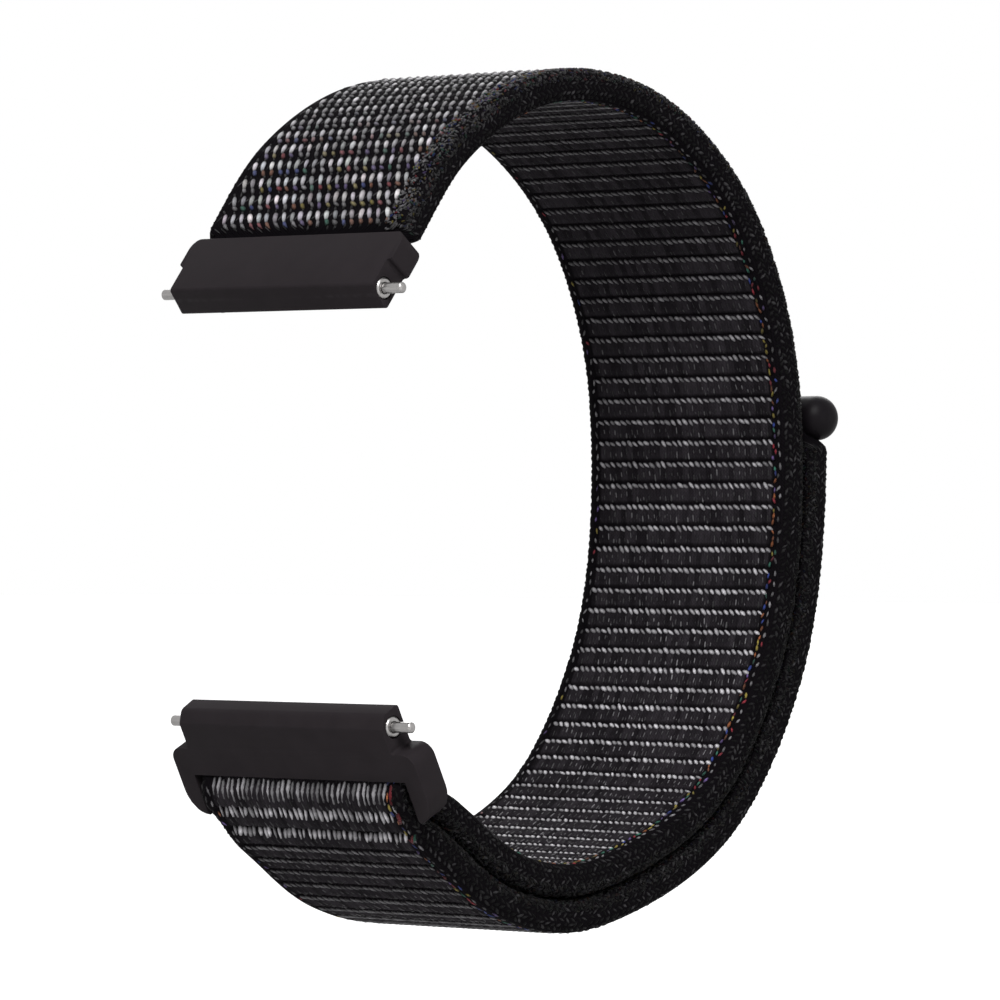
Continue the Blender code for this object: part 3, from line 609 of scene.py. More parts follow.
class Weave:
    """Where the yarns of the band lie, and in which colours."""

    SKIN_PHASES = np.array([0.0, 0.10, 0.25, 0.45, 0.64, 0.75, 0.83, 0.91])
    SKIN_HALF_FIELD = 8.55 * MM
    GROOVE_PHASE = 0.83
    GROOVE_WIDTH = 0.075
    GROOVE_DEPTH = 0.20 * MM
    ARCH_HEIGHT = 0.05 * MM
    RIDGE_HEIGHT = 0.035 * MM
    ROW_VALLEY_DEPTH = 0.10 * MM
    BLACK = np.array([0.0027, 0.0022, 0.0029])
    CHARCOAL = np.array([0.0135, 0.0118, 0.0140])
    SILVER = np.array([0.335, 0.325, 0.342])
    MOUTH_GAP = 0.40 * MM
    GRIPPED = 1.35 * MM
    DRAWN_BEFORE = 0.5 * MM
    DRAWN_AFTER = 2.7 * MM
    TINTS = np.array([
        (0.30, 0.025, 0.040), (0.030, 0.055, 0.26), (0.30, 0.24, 0.045),
        (0.26, 0.085, 0.030), (0.035, 0.16, 0.11), (0.14, 0.09, 0.26),
    ])

    # Where along the band the yarns' looks change: the start of each change, and its length
    # Painted light: the run's skin face is painted paler from here on, towards the fold.
    RUN_PAINTED_LIGHT = (42 * MM, 48 * MM)
    # Painted shade: the tail's skin face is painted dull from here on.
    TAIL_PAINTED_SHADE = (2 * MM, 2 * MM)
    DOTS_SWELL = (55 * MM, 30 * MM)
    # Painted shade: the pile's ground and feet are painted darker from here on.
    PILE_PAINTED_SHADE = (12 * MM, 8 * MM)
    # Painted shade: the pile's fuzz is painted darker from here on.
    FUZZ_PAINTED_SHADE = (36 * MM, 20 * MM)
    FUZZ_PER_MM = 62

    def __init__(self, seed: int) -> None:
        """Start the weave's own random numbers."""
        self.random = np.random.default_rng(seed)

    @staticmethod
    def rib_phase(distance: np.ndarray) -> np.ndarray:
        """How far each distance is through its rib on the skin face, from 0 to 1."""
        return np.mod((distance - RIB_START) / RIB_PITCH, 1.0)

    def skin_lift(self, distance: np.ndarray, across: np.ndarray) -> np.ndarray:
        """Relief of the skin face.

        A bell-shaped groove lies before each line of stitches. Between the grooves the face arches
        as a half sine, and cosine ridges a thread apart run along the band.
        """
        phase = self.rib_phase(distance)
        bell = np.exp(-(((phase - self.GROOVE_PHASE) / self.GROOVE_WIDTH) ** 2))
        arch = self.ARCH_HEIGHT * (np.sin(np.pi * np.mod(phase + 0.17, 1.0)) - 1)
        in_field = ease((phase - 0.08) / 0.1) * ease((0.80 - phase) / 0.06)
        ridges = self.RIDGE_HEIGHT * in_field * np.cos(2 * np.pi * across / THREAD_PITCH)
        inside = ease((self.SKIN_HALF_FIELD + 0.25 * MM - np.abs(across)) / (0.4 * MM))
        return (arch + ridges - self.GROOVE_DEPTH * bell) * inside

    def pile_lift(self, distance: np.ndarray, across: np.ndarray) -> np.ndarray:
        """Relief of the pile face: a cosine valley between each two rows, and the hook patch's recess."""
        phase = (distance - ROW_START) / ROW_PITCH
        valleys = self.ROW_VALLEY_DEPTH * (0.5 * np.cos(2 * np.pi * phase) - 0.6)
        sunk = HOOKS.inside(distance, across)
        return valleys * (1 - sunk) - HOOKS.recess * sunk

    def skin_colour(self, distance: np.ndarray, across: np.ndarray) -> np.ndarray:
        """Colour of the skin face: black in the groove and at the edges, charcoal threads between."""
        phase = self.rib_phase(distance)
        rib = np.floor((distance - RIB_START) / RIB_PITCH).astype(int)
        thread = np.rint(across / THREAD_PITCH).astype(int)
        shade = np.random.default_rng(SHADE_SEED).random((257, 263))[rib % 257, thread % 263]
        light = 0.36 + 1.18 * shade
        second = 0.35 * np.exp(-(((phase - 0.64) / 0.12) ** 2))
        bell = np.exp(-(((phase - self.GROOVE_PHASE) / 0.11) ** 2))
        inside = ease((self.SKIN_HALF_FIELD - np.abs(across)) / (0.3 * MM))
        share = ((light + second) * (1 - 0.9 * bell) * inside)[..., None]
        return self.BLACK + (self.CHARCOAL - self.BLACK) * share

    @staticmethod
    def lines(first: float, pitch: float, start: float, end: float) -> np.ndarray:
        """The distances of evenly spaced lines of stitches between two distances."""
        low, high = math.ceil((start - first) / pitch), math.floor((end - first) / pitch)
        return first + pitch * np.arange(low, high + 1)

    def spread(self, count: int, size: float) -> np.ndarray:
        """Random numbers with this standard deviation, cut off at two of them."""
        return np.clip(self.random.normal(0, size, count), -2 * size, 2 * size)

    def silver(self, count: int, low: float, high: float) -> np.ndarray:
        """Silver-grey yarn colours, each between two shares of the full one."""
        return self.SILVER * self.random.uniform(low, high, count)[:, None]

    @staticmethod
    def is_drawn(line: np.ndarray) -> np.ndarray:
        """Whether a line of stitches lies where the band is drawn round the loop connector's bar."""
        return (line > PATH.run_length - Weave.DRAWN_BEFORE) & (line < PATH.tail_start + Weave.DRAWN_AFTER)

    @staticmethod
    def skin_painted_light_and_shade(distance: np.ndarray) -> np.ndarray:
        """How pale the skin face's yarn is painted: painted shade near the fixed connector, giving way to painted
        light along the run towards the fold, and painted shade on the tail.
        """
        # Painted shade where the run's inner face turns from the light, painted light where it faces it, painted
        # shade on the tail.
        run = 0.34 + 1.11 * past(distance, *Weave.RUN_PAINTED_LIGHT)
        tail = past(distance - PATH.tail_start, *Weave.TAIL_PAINTED_SHADE)
        return run * (1 - 0.76 * tail)

    def skin_dots(self, start: float, end: float) -> Threads:
        """The small slanted stitches in a line along each rib of the skin face."""
        columns = np.arange(-15, 16) * THREAD_PITCH
        lines = self.lines(RIB_START, RIB_PITCH, start, end)
        lines = lines[~self.is_drawn(lines)]
        line, y = crossings(lines, columns)
        count = len(line)
        low = past(line, *self.DOTS_SWELL) * (line < PATH.run_length)
        return Threads(
            distance=line + self.spread(count, 0.025 * MM),
            round_at=y + self.spread(count, 0.03 * MM),
            heading=-np.radians(55 + self.spread(count, 8)),
            length=(0.70 + 0.06 * low) * MM * (1 + self.spread(count, 0.10)),
            width=(0.28 + 0.05 * low) * MM * (1 + self.spread(count, 0.14)),
            rise=0.06 * MM,
            height=0.24 * MM,
            # Painted light and shade along the band, multiplied into the dots' silver.
            colour=self.silver(count, 0.50, 1.30) * self.skin_painted_light_and_shade(line)[:, None],
        )

    def skin_specks(self, start: float, end: float) -> Threads:
        """The thin upright threads that show here and there between the lines of stitches."""
        columns = np.arange(-30, 31) * THREAD_PITCH / 2
        line, y = crossings(self.lines(RIB_START, RIB_PITCH, start, end), columns)
        shown = self.random.random(len(line)) < 0.9
        line, y = line[shown], y[shown]
        count = len(line)
        distance = line + self.random.uniform(0.32, 0.62, count) * RIB_PITCH
        pale = (0.06 + 0.42 * self.random.random(count) ** 2.2) * np.where(line > PATH.tail_start, 1.8, 1.0)
        pale = pale * np.where(self.is_drawn(line), 0.25, 1.0)
        return Threads(
            distance=distance,
            round_at=y + self.spread(count, 0.02 * MM),
            heading=-np.radians(6 + self.spread(count, 5)),
            length=self.random.uniform(0.30, 0.75, count) * MM,
            width=0.20 * MM * (1 + self.spread(count, 0.15)),
            rise=0.035 * MM,
            height=0.18 * MM,
            # Painted light and shade along the band, multiplied into the specks' silver.
            colour=self.SILVER * (pale * self.skin_painted_light_and_shade(distance))[:, None],
        )

    def drawn_stitches(self, start: float, end: float) -> Threads:
        """The long upright stitches of the ribs round the loop connector's bar, and their coloured ends."""
        lines = self.lines(RIB_START, RIB_PITCH, start, end)
        lines = lines[self.is_drawn(lines)]
        columns = np.concatenate([np.arange(-17, 18) * 0.49 * MM, [-8.86 * MM, -9.08 * MM]])
        line, y = crossings(lines, columns)
        count = len(line)
        past = np.clip((line - PATH.tail_start) / RIB_PITCH, 0, 1.5)
        pale = np.interp(past, (0.0, 0.3, 1.5), (0.58, 1.30, 1.25))
        plain = self.SILVER * (self.random.uniform(0.38, 1.25, count) * pale)[:, None]
        tinted = (y < -8.5 * MM)[:, None]
        tints = np.where(self.random.random(count)[:, None] < 0.65, self.TINTS[0], self.TINTS[4])
        return Threads(
            distance=line + np.interp(past, (0, 0.3, 1.3), (0.10, -0.16, -0.02)) * MM + self.spread(count, 0.05 * MM),
            round_at=y + self.spread(count, 0.04 * MM),
            heading=np.radians(np.interp(past, (0, 0.3, 1.3), (-4, 29, 31)) + self.spread(count, 6)),
            length=(1.25 - 0.08 * past) * MM * (1 + self.spread(count, 0.08)),
            width=(0.33 + 0.03 * past) * MM * (1 + self.spread(count, 0.22)),
            rise=0.09 * MM,
            height=0.32 * MM,
            colour=np.where(tinted, tints * 0.26, plain),
        )

    def skin_edge_threads(self, start: float, end: float) -> Threads:
        """Coloured threads at the ends of the ribs, and single pale ones on the edge beside them."""
        lines = self.lines(RIB_START, RIB_PITCH, start, end)
        places = [(0.16, -8.62, 1), (0.42, -8.72, 1), (0.10, -9.12, 0), (0.55, -9.14, 0), (0.70, -8.62, 1),
                  (0.10, 8.80, 0), (0.55, 8.86, 0)]
        rows = np.array([(line + share * RIB_PITCH, y * MM, tinted) for line in lines for share, y, tinted in places])
        count = len(rows)
        tints = self.TINTS[self.random.integers(0, len(self.TINTS), count)]
        vivid = self.random.uniform(0.15, 0.85, count)[:, None]
        coloured = tints * vivid + self.CHARCOAL * (1 - vivid)
        plain = self.silver(count, 0.08, 0.60)
        some = self.random.random(count)[:, None] < 0.22
        # Painted light and shade along the band, at about half strength.
        strength = 0.45 + 0.55 * self.skin_painted_light_and_shade(rows[:, :1])
        return Threads(
            distance=rows[:, 0] + self.spread(count, 0.06 * MM),
            round_at=rows[:, 1] + self.spread(count, 0.07 * MM),
            heading=self.spread(count, 0.35) * np.sign(rows[:, 1]),
            length=0.54 * MM * (1 + self.spread(count, 0.14)),
            width=0.26 * MM * (1 + self.spread(count, 0.14)),
            rise=0.05 * MM,
            height=0.22 * MM,
            colour=np.where((rows[:, 2:] > 0) | some, coloured, plain) * strength,
        )

    def pile_leaves(self, start: float, end: float) -> Threads:
        """The long leaf-shaped stitches of the pile face, in rows across the band."""
        columns = np.arange(-9, 11) * STITCH_PITCH
        row, y = crossings(self.lines(ROW_START, ROW_PITCH, start, end), columns)
        count = len(row)
        distance = row + 0.12 * MM + self.spread(count, 0.03 * MM)
        across = y + self.spread(count, 0.035 * MM)
        return Threads(
            distance=distance,
            round_at=PATH.on_pile(distance, across),
            heading=-np.radians(24 + self.spread(count, 5)),
            length=np.interp(row / MM, (6, 16), (1.08, 0.98)) * MM * (1 + self.spread(count, 0.06)),
            width=np.interp(row / MM, (6, 16), (0.42, 0.32)) * MM * (1 + self.spread(count, 0.10)),
            rise=(0.12 + self.spread(count, 0.012)) * MM,
            height=0.36 * MM,
            # A random 15 per cent of the leaves are painted 1.5 times paler, as painted glints.
            colour=self.silver(count, 0.45, 1.25) * np.where(self.random.random(count) < 0.15, 1.5, 1)[:, None]
            * (1 - 0.10 * self.random.random((count, 3)) * ease((15 * MM - row) / (8 * MM))[:, None])
            # Painted light on the rows near the fixed connector, where the pile faces up into the light, and painted
            # shade further round.
            * np.interp(row / MM, (3, 9, 14, 24), (1.22, 1.08, 1.08, 0.68))[:, None],
        )

    def pile_ground(self, start: float, end: float) -> Threads:
        """The dull strands between the leaves, leaning the other way, and those in the valleys."""
        columns = (np.arange(-9, 11) + 0.5) * STITCH_PITCH
        row, y, low = crossings(self.lines(ROW_START, ROW_PITCH, start, end), columns, [0.15, -0.78])
        count = len(row)
        distance = row + low * MM + self.spread(count, 0.05 * MM)
        across = y + self.spread(count, 0.12 * MM)
        return Threads(
            distance=distance,
            round_at=PATH.on_pile(distance, across),
            heading=np.radians(np.where(low > 0, 30, -35) + self.spread(count, 12)),
            length=np.where(low > 0, 0.80, 0.50) * MM * (1 + self.spread(count, 0.12)),
            width=0.26 * MM * (1 + self.spread(count, 0.12)),
            rise=np.where(low > 0, 0.02, -0.02) * MM,
            height=0.20 * MM,
            # The strands in the valleys between rows are painted at 0.6 of the others' colour, as painted shade in
            # the valleys.
            colour=self.silver(count, 0.03, 0.20) * np.where(low > 0, 1.0, 0.6)[:, None]
            # Painted shade on the ground strands further round the band.
            * (1 - 0.7 * past(row, *self.PILE_PAINTED_SHADE))[:, None],
        ).only(distance > start)

    def pile_feet(self, start: float, end: float) -> Threads:
        """The short, more slanted stitches under the leaves, some of them in coloured yarn."""
        columns = (np.arange(-9, 11) - 0.42) * STITCH_PITCH
        row, y = crossings(self.lines(ROW_START, ROW_PITCH, start, end), columns)
        count = len(row)
        distance = row - 0.48 * MM + self.spread(count, 0.03 * MM)
        across = y + self.spread(count, 0.04 * MM)
        tints = self.TINTS[self.random.integers(0, len(self.TINTS), count)]
        share = 0.7 * (self.random.random(count) < 0.7) * ease((17 * MM - row) / (9 * MM))
        # Painted shade on the plain feet further round the band.
        plain = self.silver(count, 0.16, 0.62) * (1 - 0.55 * past(row, *self.PILE_PAINTED_SHADE))[:, None]
        return Threads(
            distance=distance,
            round_at=PATH.on_pile(distance, across),
            heading=-np.radians(48 + self.spread(count, 8)),
            length=0.78 * MM * (1 + self.spread(count, 0.08)),
            width=0.34 * MM * (1 + self.spread(count, 0.08)),
            rise=0.06 * MM,
            height=0.28 * MM,
            colour=plain * (1 - share[:, None]) + 0.50 * tints * share[:, None],
        )

    def pile_fuzz(self, start: float, end: float) -> Threads:
        """The tangle of short fibres between the stitch field and the selvedge on the near side."""
        count = int((end - start) / MM * self.FUZZ_PER_MM)
        distance = self.random.uniform(start, end, count)
        reach = self.random.uniform(7.75, 10.3, count) * MM
        tints = self.TINTS[self.random.integers(0, len(self.TINTS), count)] * 0.45
        tinted = (self.random.random(count) < 0.22)[:, None]
        # The fibres fade towards the selvedge, and painted shade darkens them further along the band.
        fade_and_painted_shade = (1 - 0.85 * past(reach, 8.3 * MM, 1.9 * MM)) * (1 - 0.8 * past(distance, *self.FUZZ_PAINTED_SHADE))
        return Threads(
            distance=distance,
            round_at=reach - PATH.half_girth(distance),
            heading=self.random.uniform(-1.5, 1.5, count),
            length=self.random.uniform(0.20, 0.44, count) * MM,
            width=self.random.uniform(0.12, 0.20, count) * MM,
            rise=self.random.uniform(0.02, 0.10, count) * MM,
            height=0.16 * MM,
            colour=np.where(tinted, tints, self.silver(count, 0.04, 0.62)) * fade_and_painted_shade[:, None],
        )

    def selvedge_braid(self, start: float, end: float) -> Threads:
        """The dark braid round both selvedges: columns of slanted stitches, turned each against the next."""
        steps = np.arange(start + 0.3 * MM, end - 0.1 * MM, 0.50 * MM)
        columns = np.array([-0.90, -0.54, -0.18, 0.18, 0.54, 0.90]) * MM
        distance, column = crossings(steps, columns)
        lean = np.sign(np.sin(np.pi * (np.rint((column / MM + 0.90) / 0.36) + 0.5)))
        distance = np.concatenate([distance, distance])
        side = np.repeat([-1.0, 1.0], len(lean))
        column, lean = np.tile(column, 2), np.tile(lean, 2)
        count = len(distance)
        middle = PATH.half_girth(distance) / 2
        return Threads(
            distance=distance + 0.12 * MM * lean + self.spread(count, 0.06 * MM),
            round_at=side * (middle + column + self.spread(count, 0.04 * MM)),
            heading=lean * np.radians(40 + self.spread(count, 14)),
            length=0.62 * MM * (1 + self.spread(count, 0.12)),
            width=0.30 * MM * (1 + self.spread(count, 0.10)),
            rise=0.05 * MM,
            height=0.24 * MM,
            colour=self.SILVER * (0.011 + 0.10 * self.random.random(count) ** 3)[:, None],
        )


@dataclass
class ClothStretch:
    """One stretch of the band: the cloth itself and the yarns that show on it.

    Attributes:
        name: what the pieces' names start with.
        start: where it starts along the band.
        end: where it ends.
        nodes: the nodes of the frame that it stands for.
        body: the body that its pieces move with, where it doesn't bend.
        onto: the body past its bend, or None where it doesn't bend; only whether it is None is read, and where it
            isn't, its pieces are left unattached.
        bend: the two distances that its bend runs between; not used.
    """

    name: str
    start: float
    end: float
    nodes: tuple[str, ...]
    body: str
    onto: str | None = None
    bend: tuple[float, float] = (0.0, 0.0)

    SKIN_COLUMNS = 46
    CORNER_STEPS = 8
    PILE_STEPS = 13
    SEAM = 0.04 * MM

    def rows(self) -> np.ndarray:
        """The distances of the cloth's rows of points: several at set phases of every rib."""
        first = math.floor((self.start - RIB_START) / RIB_PITCH)
        last = math.ceil((self.end - RIB_START) / RIB_PITCH)
        ribs = np.arange(first, last + 1)[:, None]
        rows = (RIB_START + RIB_PITCH * (ribs + Weave.SKIN_PHASES)).ravel()
        inside = rows[(rows > self.start + self.SEAM) & (rows < self.end - self.SEAM)]
        return np.concatenate([[self.start], inside, [self.end]])

    def cloth(self, weave: Weave) -> Surface:
        """The closed tube of the cloth, with its relief worked in, and a cap at each end."""
        distance = self.rows()
        skin = np.arange(-self.SKIN_COLUMNS, self.SKIN_COLUMNS + 1) * THREAD_PITCH / 3
        skin = np.concatenate([[-FLAT_HALF], skin, [FLAT_HALF]])
        corner_share = np.linspace(0, 1, self.CORNER_STEPS + 1)[1:]
        pile_share = np.linspace(0, 1, self.PILE_STEPS + 1)[1:]
        girth = PATH.half_girth(distance)[:, None]
        pile_edge = girth - FLAT_HALF
        side = FLAT_HALF + (pile_edge - FLAT_HALF) * corner_share
        pile = pile_edge + (girth - pile_edge) * pile_share
        right = np.hstack([side, pile])
        round_at = np.hstack([-right[:, :-1][:, ::-1], np.broadcast_to(skin, (len(distance), len(skin))), right])
        along = np.broadcast_to(distance[:, None], round_at.shape)
        on_skin = np.abs(round_at) <= FLAT_HALF + 0.01 * MM
        on_pile = np.abs(round_at) >= pile_edge - 0.01 * MM
        lift = np.where(on_skin, weave.skin_lift(along, round_at), 0.0)
        lift = np.where(on_pile, weave.pile_lift(along, girth - np.abs(round_at)), lift)
        colour = np.where(on_skin[..., None], weave.skin_colour(along, round_at), weave.BLACK)
        points = PATH.place(along, round_at, lift)
        rows, columns = round_at.shape
        caps = PATH.axes(distance[[0, -1]])[0]
        centres = np.column_stack([caps[:, 0], [0, 0], caps[:, 1]])
        yarn = np.stack([(along - RIB_START) / RIB_PITCH, round_at / THREAD_PITCH], -1).reshape(-1, 2)
        return Surface(
            np.vstack([points.reshape(-1, 3), centres]),
            tube_faces(rows, columns),
            end_fans(rows, columns),
            np.vstack([colour.reshape(-1, 3), np.tile(weave.BLACK, (2, 1))]),
            np.vstack([yarn, np.zeros((2, 2))]),
        )

    def hold(self, piece: bpy.types.Object) -> None:
        """Let a piece move with this stretch's body; where the stretch has a second body, bake the piece's place into
        its points and leave it unattached.
        """
        if self.onto is None:
            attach(piece, self.body)
        else:
            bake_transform(piece)

    def build(self, weave: Weave, cloth: bpy.types.Material, yarn: bpy.types.Material,
              dark: bpy.types.Material) -> None:
        """Make the stretch's pieces and dress them.

        Args:
            weave: where the yarns lie.
            cloth: the ground cloth's finish.
            yarn: the stitches' finish.
            dark: the selvedge braid's finish.
        """
        base = self.cloth(weave).make(self.name + "_cloth", cloth)
        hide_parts(*self.nodes)
        self.hold(base)
        small, fine = Bead(rings=3, sides=5), Bead(rings=2, sides=4)
        low = max(self.start, COLLAR_DEPTH + weave.MOUTH_GAP)
        high = min(self.end, PATH.length - weave.GRIPPED)
        kinds = {
            "skin_stitches": (weave.skin_dots(low, high), small, yarn),
            "skin_specks": (weave.skin_specks(low, high), fine, yarn),
            "drawn_stitches": (weave.drawn_stitches(low, high), small, yarn),
            "skin_edge_threads": (weave.skin_edge_threads(low, high), small, yarn),
            "pile_leaves": (HOOKS.clear(weave.pile_leaves(low, high)), Bead(rings=5, sides=8, skew=0.12), yarn),
            "pile_ground": (HOOKS.clear(weave.pile_ground(low, high)), fine, yarn),
            "pile_feet": (HOOKS.clear(weave.pile_feet(low, high)), small, yarn),
            "pile_fuzz": (HOOKS.clear(weave.pile_fuzz(low, high)), fine, yarn),
            "selvedge_braid": (weave.selvedge_braid(low, high), small, dark),
        }
        for kind, (threads, template, finish) in kinds.items():
            if len(threads.distance) == 0:
                continue
            piece = threads.surface(template).make(f"{self.name}_{kind}", finish)
            self.hold(piece)
            LOG.info("%s: %d stitches, %d faces", piece.name, len(threads.distance), len(piece.data.polygons))
        LOG.info("%s: %d faces", base.name, len(base.data.polygons))


# Finishes

class Graph:
    """A node tree with short calls to add and join its nodes."""

    def __init__(self, tree: bpy.types.NodeTree) -> None:
        """Keep the tree."""
        self.tree = tree

    def fill(self, node: bpy.types.Node, inputs: dict) -> bpy.types.Node:
        """Set a node's sockets.

        Args:
            node: the node.
            inputs: what its sockets, named or numbered, hold or are joined to.

        Returns:
            The node.
        """
        for name, value in inputs.items():
            if isinstance(value, bpy.types.NodeSocket):
                self.tree.links.new(value, node.inputs[name])
            else:
                node.inputs[name].default_value = value
        return node

    def add(self, kind: str, inputs: dict | None = None, **settings: object) -> bpy.types.Node:
        """Add a node.

        Args:
            kind: the node's type, without the words ShaderNode.
            inputs: what its sockets hold or are joined to.
            settings: its other settings.

        Returns:
            The node.
        """
        node = self.tree.nodes.new("ShaderNode" + kind)
        for name, value in settings.items():
            setattr(node, name, value)
        return self.fill(node, inputs or {})

    def math(self, operation: str, *values: object) -> bpy.types.NodeSocket:
        """Add a Math node and return what it puts out."""
        return self.add("Math", dict(enumerate(values)), operation=operation).outputs[0]

    def times(self, product: object, *factors: object) -> bpy.types.NodeSocket:
        """The product of these values."""
        for factor in factors:
            product = self.math("MULTIPLY", product, factor)
        return product

    def wave(self, *factors: object) -> bpy.types.NodeSocket:
        """The sine of as many full turns as the product of these values."""
        return self.math("SINE", self.times(*factors, 2 * math.pi))

    def noise(self, place: object, scale: object, detail: float, **more: object) -> bpy.types.NodeSocket:
        """Add a noise on these coordinates and return its strength."""
        return self.add("TexNoise", {"Vector": place, "Scale": scale, "Detail": detail} | more).outputs[0]

    def mix(self, share: object, low: object, high: object, blend: str = "MIX") -> bpy.types.NodeSocket:
        """Mix two colours and return the mixed one."""
        return self.add("Mix", {0: share, 6: low, 7: high}, data_type="RGBA", blend_type=blend).outputs[2]

    def spread(self, value: object, low: float = 0.0, high: float = 1.0, first: float = 0.0,
               last: float = 1.0) -> bpy.types.NodeSocket:
        """Map a value from between the first and the last number to between the low and the high one."""
        return self.add("MapRange", {0: value, 1: first, 2: last, 3: low, 4: high}).outputs[0]

    def bump(self, height: object, depth: float) -> bpy.types.NodeSocket:
        """Turn a height into a normal, with a full step of this depth."""
        return self.add("Bump", {"Height": height, "Distance": depth, "Strength": 1.0}).outputs[0]


def new_group(name: str, inputs: dict[str, float], outputs: tuple[str, ...]) -> tuple[Graph, dict, bpy.types.Node]:
    """Start a shader node group.

    Args:
        name: the group's name.
        inputs: each value that it takes, with its usual size.
        outputs: the values that it puts out.

    Returns:
        Its graph, its input sockets by name, and its output node.
    """
    tree = bpy.data.node_groups.new(name, "ShaderNodeTree")
    for key, value in inputs.items():
        tree.interface.new_socket(key, in_out="INPUT", socket_type="NodeSocketFloat").default_value = value
    for key in outputs:
        tree.interface.new_socket(key, in_out="OUTPUT", socket_type="NodeSocketFloat")
    came = tree.nodes.new("NodeGroupInput")
    left = tree.nodes.new("NodeGroupOutput")
    return Graph(tree), {key: came.outputs[key] for key in inputs}, left


class Effects:
    """The shader groups that several finishes share."""

    BROAD_SHARE = 0.06
    EDGE_TURN = (0.995, 0.90)
    NICK_SCALE = 1600.0
    NICKS = (0.38, 0.66)

    def __init__(self) -> None:
        """Build every group once."""
        self.grain = self._grain()
        self.wear_and_highlight = self._wear_and_highlight()
        self.fibre = self._fibre()
        self.plain_weave = self._plain_weave()

    @staticmethod
    def _grain() -> bpy.types.NodeTree:
        """Fine moulding grain and broad patches: two noises on Object coordinates."""
        graph, came, left = new_group("moulding_grain", {"Size": 0.0002, "Roughness": 0.6}, ("Height", "Patches"))
        place = graph.add("TexCoord").outputs["Object"]
        scale = graph.math("DIVIDE", 1.0, came["Size"])
        fine = graph.noise(place, scale, 3.0, Roughness=came["Roughness"])
        broad = graph.noise(place, graph.times(scale, Effects.BROAD_SHARE), 2.0)
        graph.fill(left, {"Height": fine, "Patches": broad})
        return graph.tree

    @staticmethod
    def _wear_and_highlight() -> bpy.types.NodeTree:
        """Edges painted lighter, partly as rubbed wear and partly as a painted highlight: where the rounded normal
        turns from the face's own, broken up by noise.
        """
        graph, came, left = new_group("rubbed_and_highlit_edges", {"Radius": 0.0001, "Amount": 1.0}, ("Mask",))
        rounded = graph.add("Bevel", {"Radius": came["Radius"]}, samples=4).outputs[0]
        own = graph.add("NewGeometry").outputs["Normal"]
        dot = graph.add("VectorMath", {0: rounded, 1: own}, operation="DOT_PRODUCT").outputs["Value"]
        edge = graph.spread(dot, 0.0, 1.0, *Effects.EDGE_TURN)
        noise = graph.noise(graph.add("TexCoord").outputs["Object"], Effects.NICK_SCALE, 4.0)
        broken = graph.spread(noise, 0.0, 1.0, *Effects.NICKS)
        graph.fill(left, {"Mask": graph.times(edge, broken, came["Amount"])})
        return graph.tree

    @staticmethod
    def _fibre() -> bpy.types.NodeTree:
        """Twisted filaments on one yarn: slanted bands along and round it, on its own coordinates."""
        graph, came, left = new_group("twisted_fibre", {"Turns": 3.0, "Breakup": 2.0}, ("Height", "Shade"))
        place = graph.add("UVMap", uv_map="yarn").outputs[0]
        along, across = graph.add("SeparateXYZ", {0: place}).outputs[:2]
        wave = graph.wave(graph.math("ADD", graph.times(along, came["Turns"]), graph.times(across, 2.0)))
        noise = graph.noise(place, came["Breakup"], 3.0)
        graph.fill(left, {"Height": graph.math("ADD", graph.times(wave, 0.35), noise), "Shade": noise})
        return graph.tree

    @staticmethod
    def _plain_weave() -> bpy.types.NodeTree:
        """Fine threads of the ground cloth: sine ridges along the band, broken into short stitches."""
        graph, came, left = new_group("ground_threads", {"Across": 2.0, "Along": 6.0}, ("Height", "Shade"))
        place = graph.add("UVMap", uv_map="yarn").outputs[0]
        along, across = graph.add("SeparateXYZ", {0: place}).outputs[:2]
        ridges = graph.wave(across, came["Across"])
        stitches = graph.wave(along, came["Along"])
        noise = graph.noise(place, 3.0, 4.0)
        crossing = graph.math("ADD", graph.times(ridges, stitches, 0.3), noise)
        height = graph.math("ADD", crossing, graph.times(ridges, 0.3))
        graph.fill(left, {"Height": height, "Shade": noise})
        return graph.tree


def tone(colour: tuple[float, float, float], share: float = 1.0) -> tuple[float, ...]:
    """A colour made this much lighter or darker, as the sockets take it."""
    return (*(c * share for c in colour), 1.0)


def new_material(
    name: str, colour: tuple[float, float, float], roughness: float
) -> tuple[bpy.types.Material, Graph, bpy.types.Node]:
    """Start a material.

    Args:
        name: its name.
        colour: its base colour, linear.
        roughness: its roughness.

    Returns:
        The material, its graph and its shader.
    """
    material = bpy.data.materials.new(name)
    material.use_nodes = True
    graph = Graph(material.node_tree)
    shader = material.node_tree.nodes["Principled BSDF"]
    return material, graph, graph.fill(shader, {"Base Color": tone(colour), "Roughness": roughness})


@dataclass(frozen=True)
class Finish:
    """What every finish has.

    Attributes:
        name: the material's name.
        colour: its base colour, linear.
        roughness: its middle roughness.
    """

    name: str
    colour: tuple[float, float, float]
    roughness: float

    def start(self) -> tuple[bpy.types.Material, Graph, bpy.types.Node]:
        """Make the material, and return it with its graph and its shader."""
        return new_material(self.name, self.colour, self.roughness)


class Texture(Enum):
    """The threads that a nylon finish shows, named as Effects names its groups."""

    FIBRE = "fibre"
    CLOTH = "plain_weave"


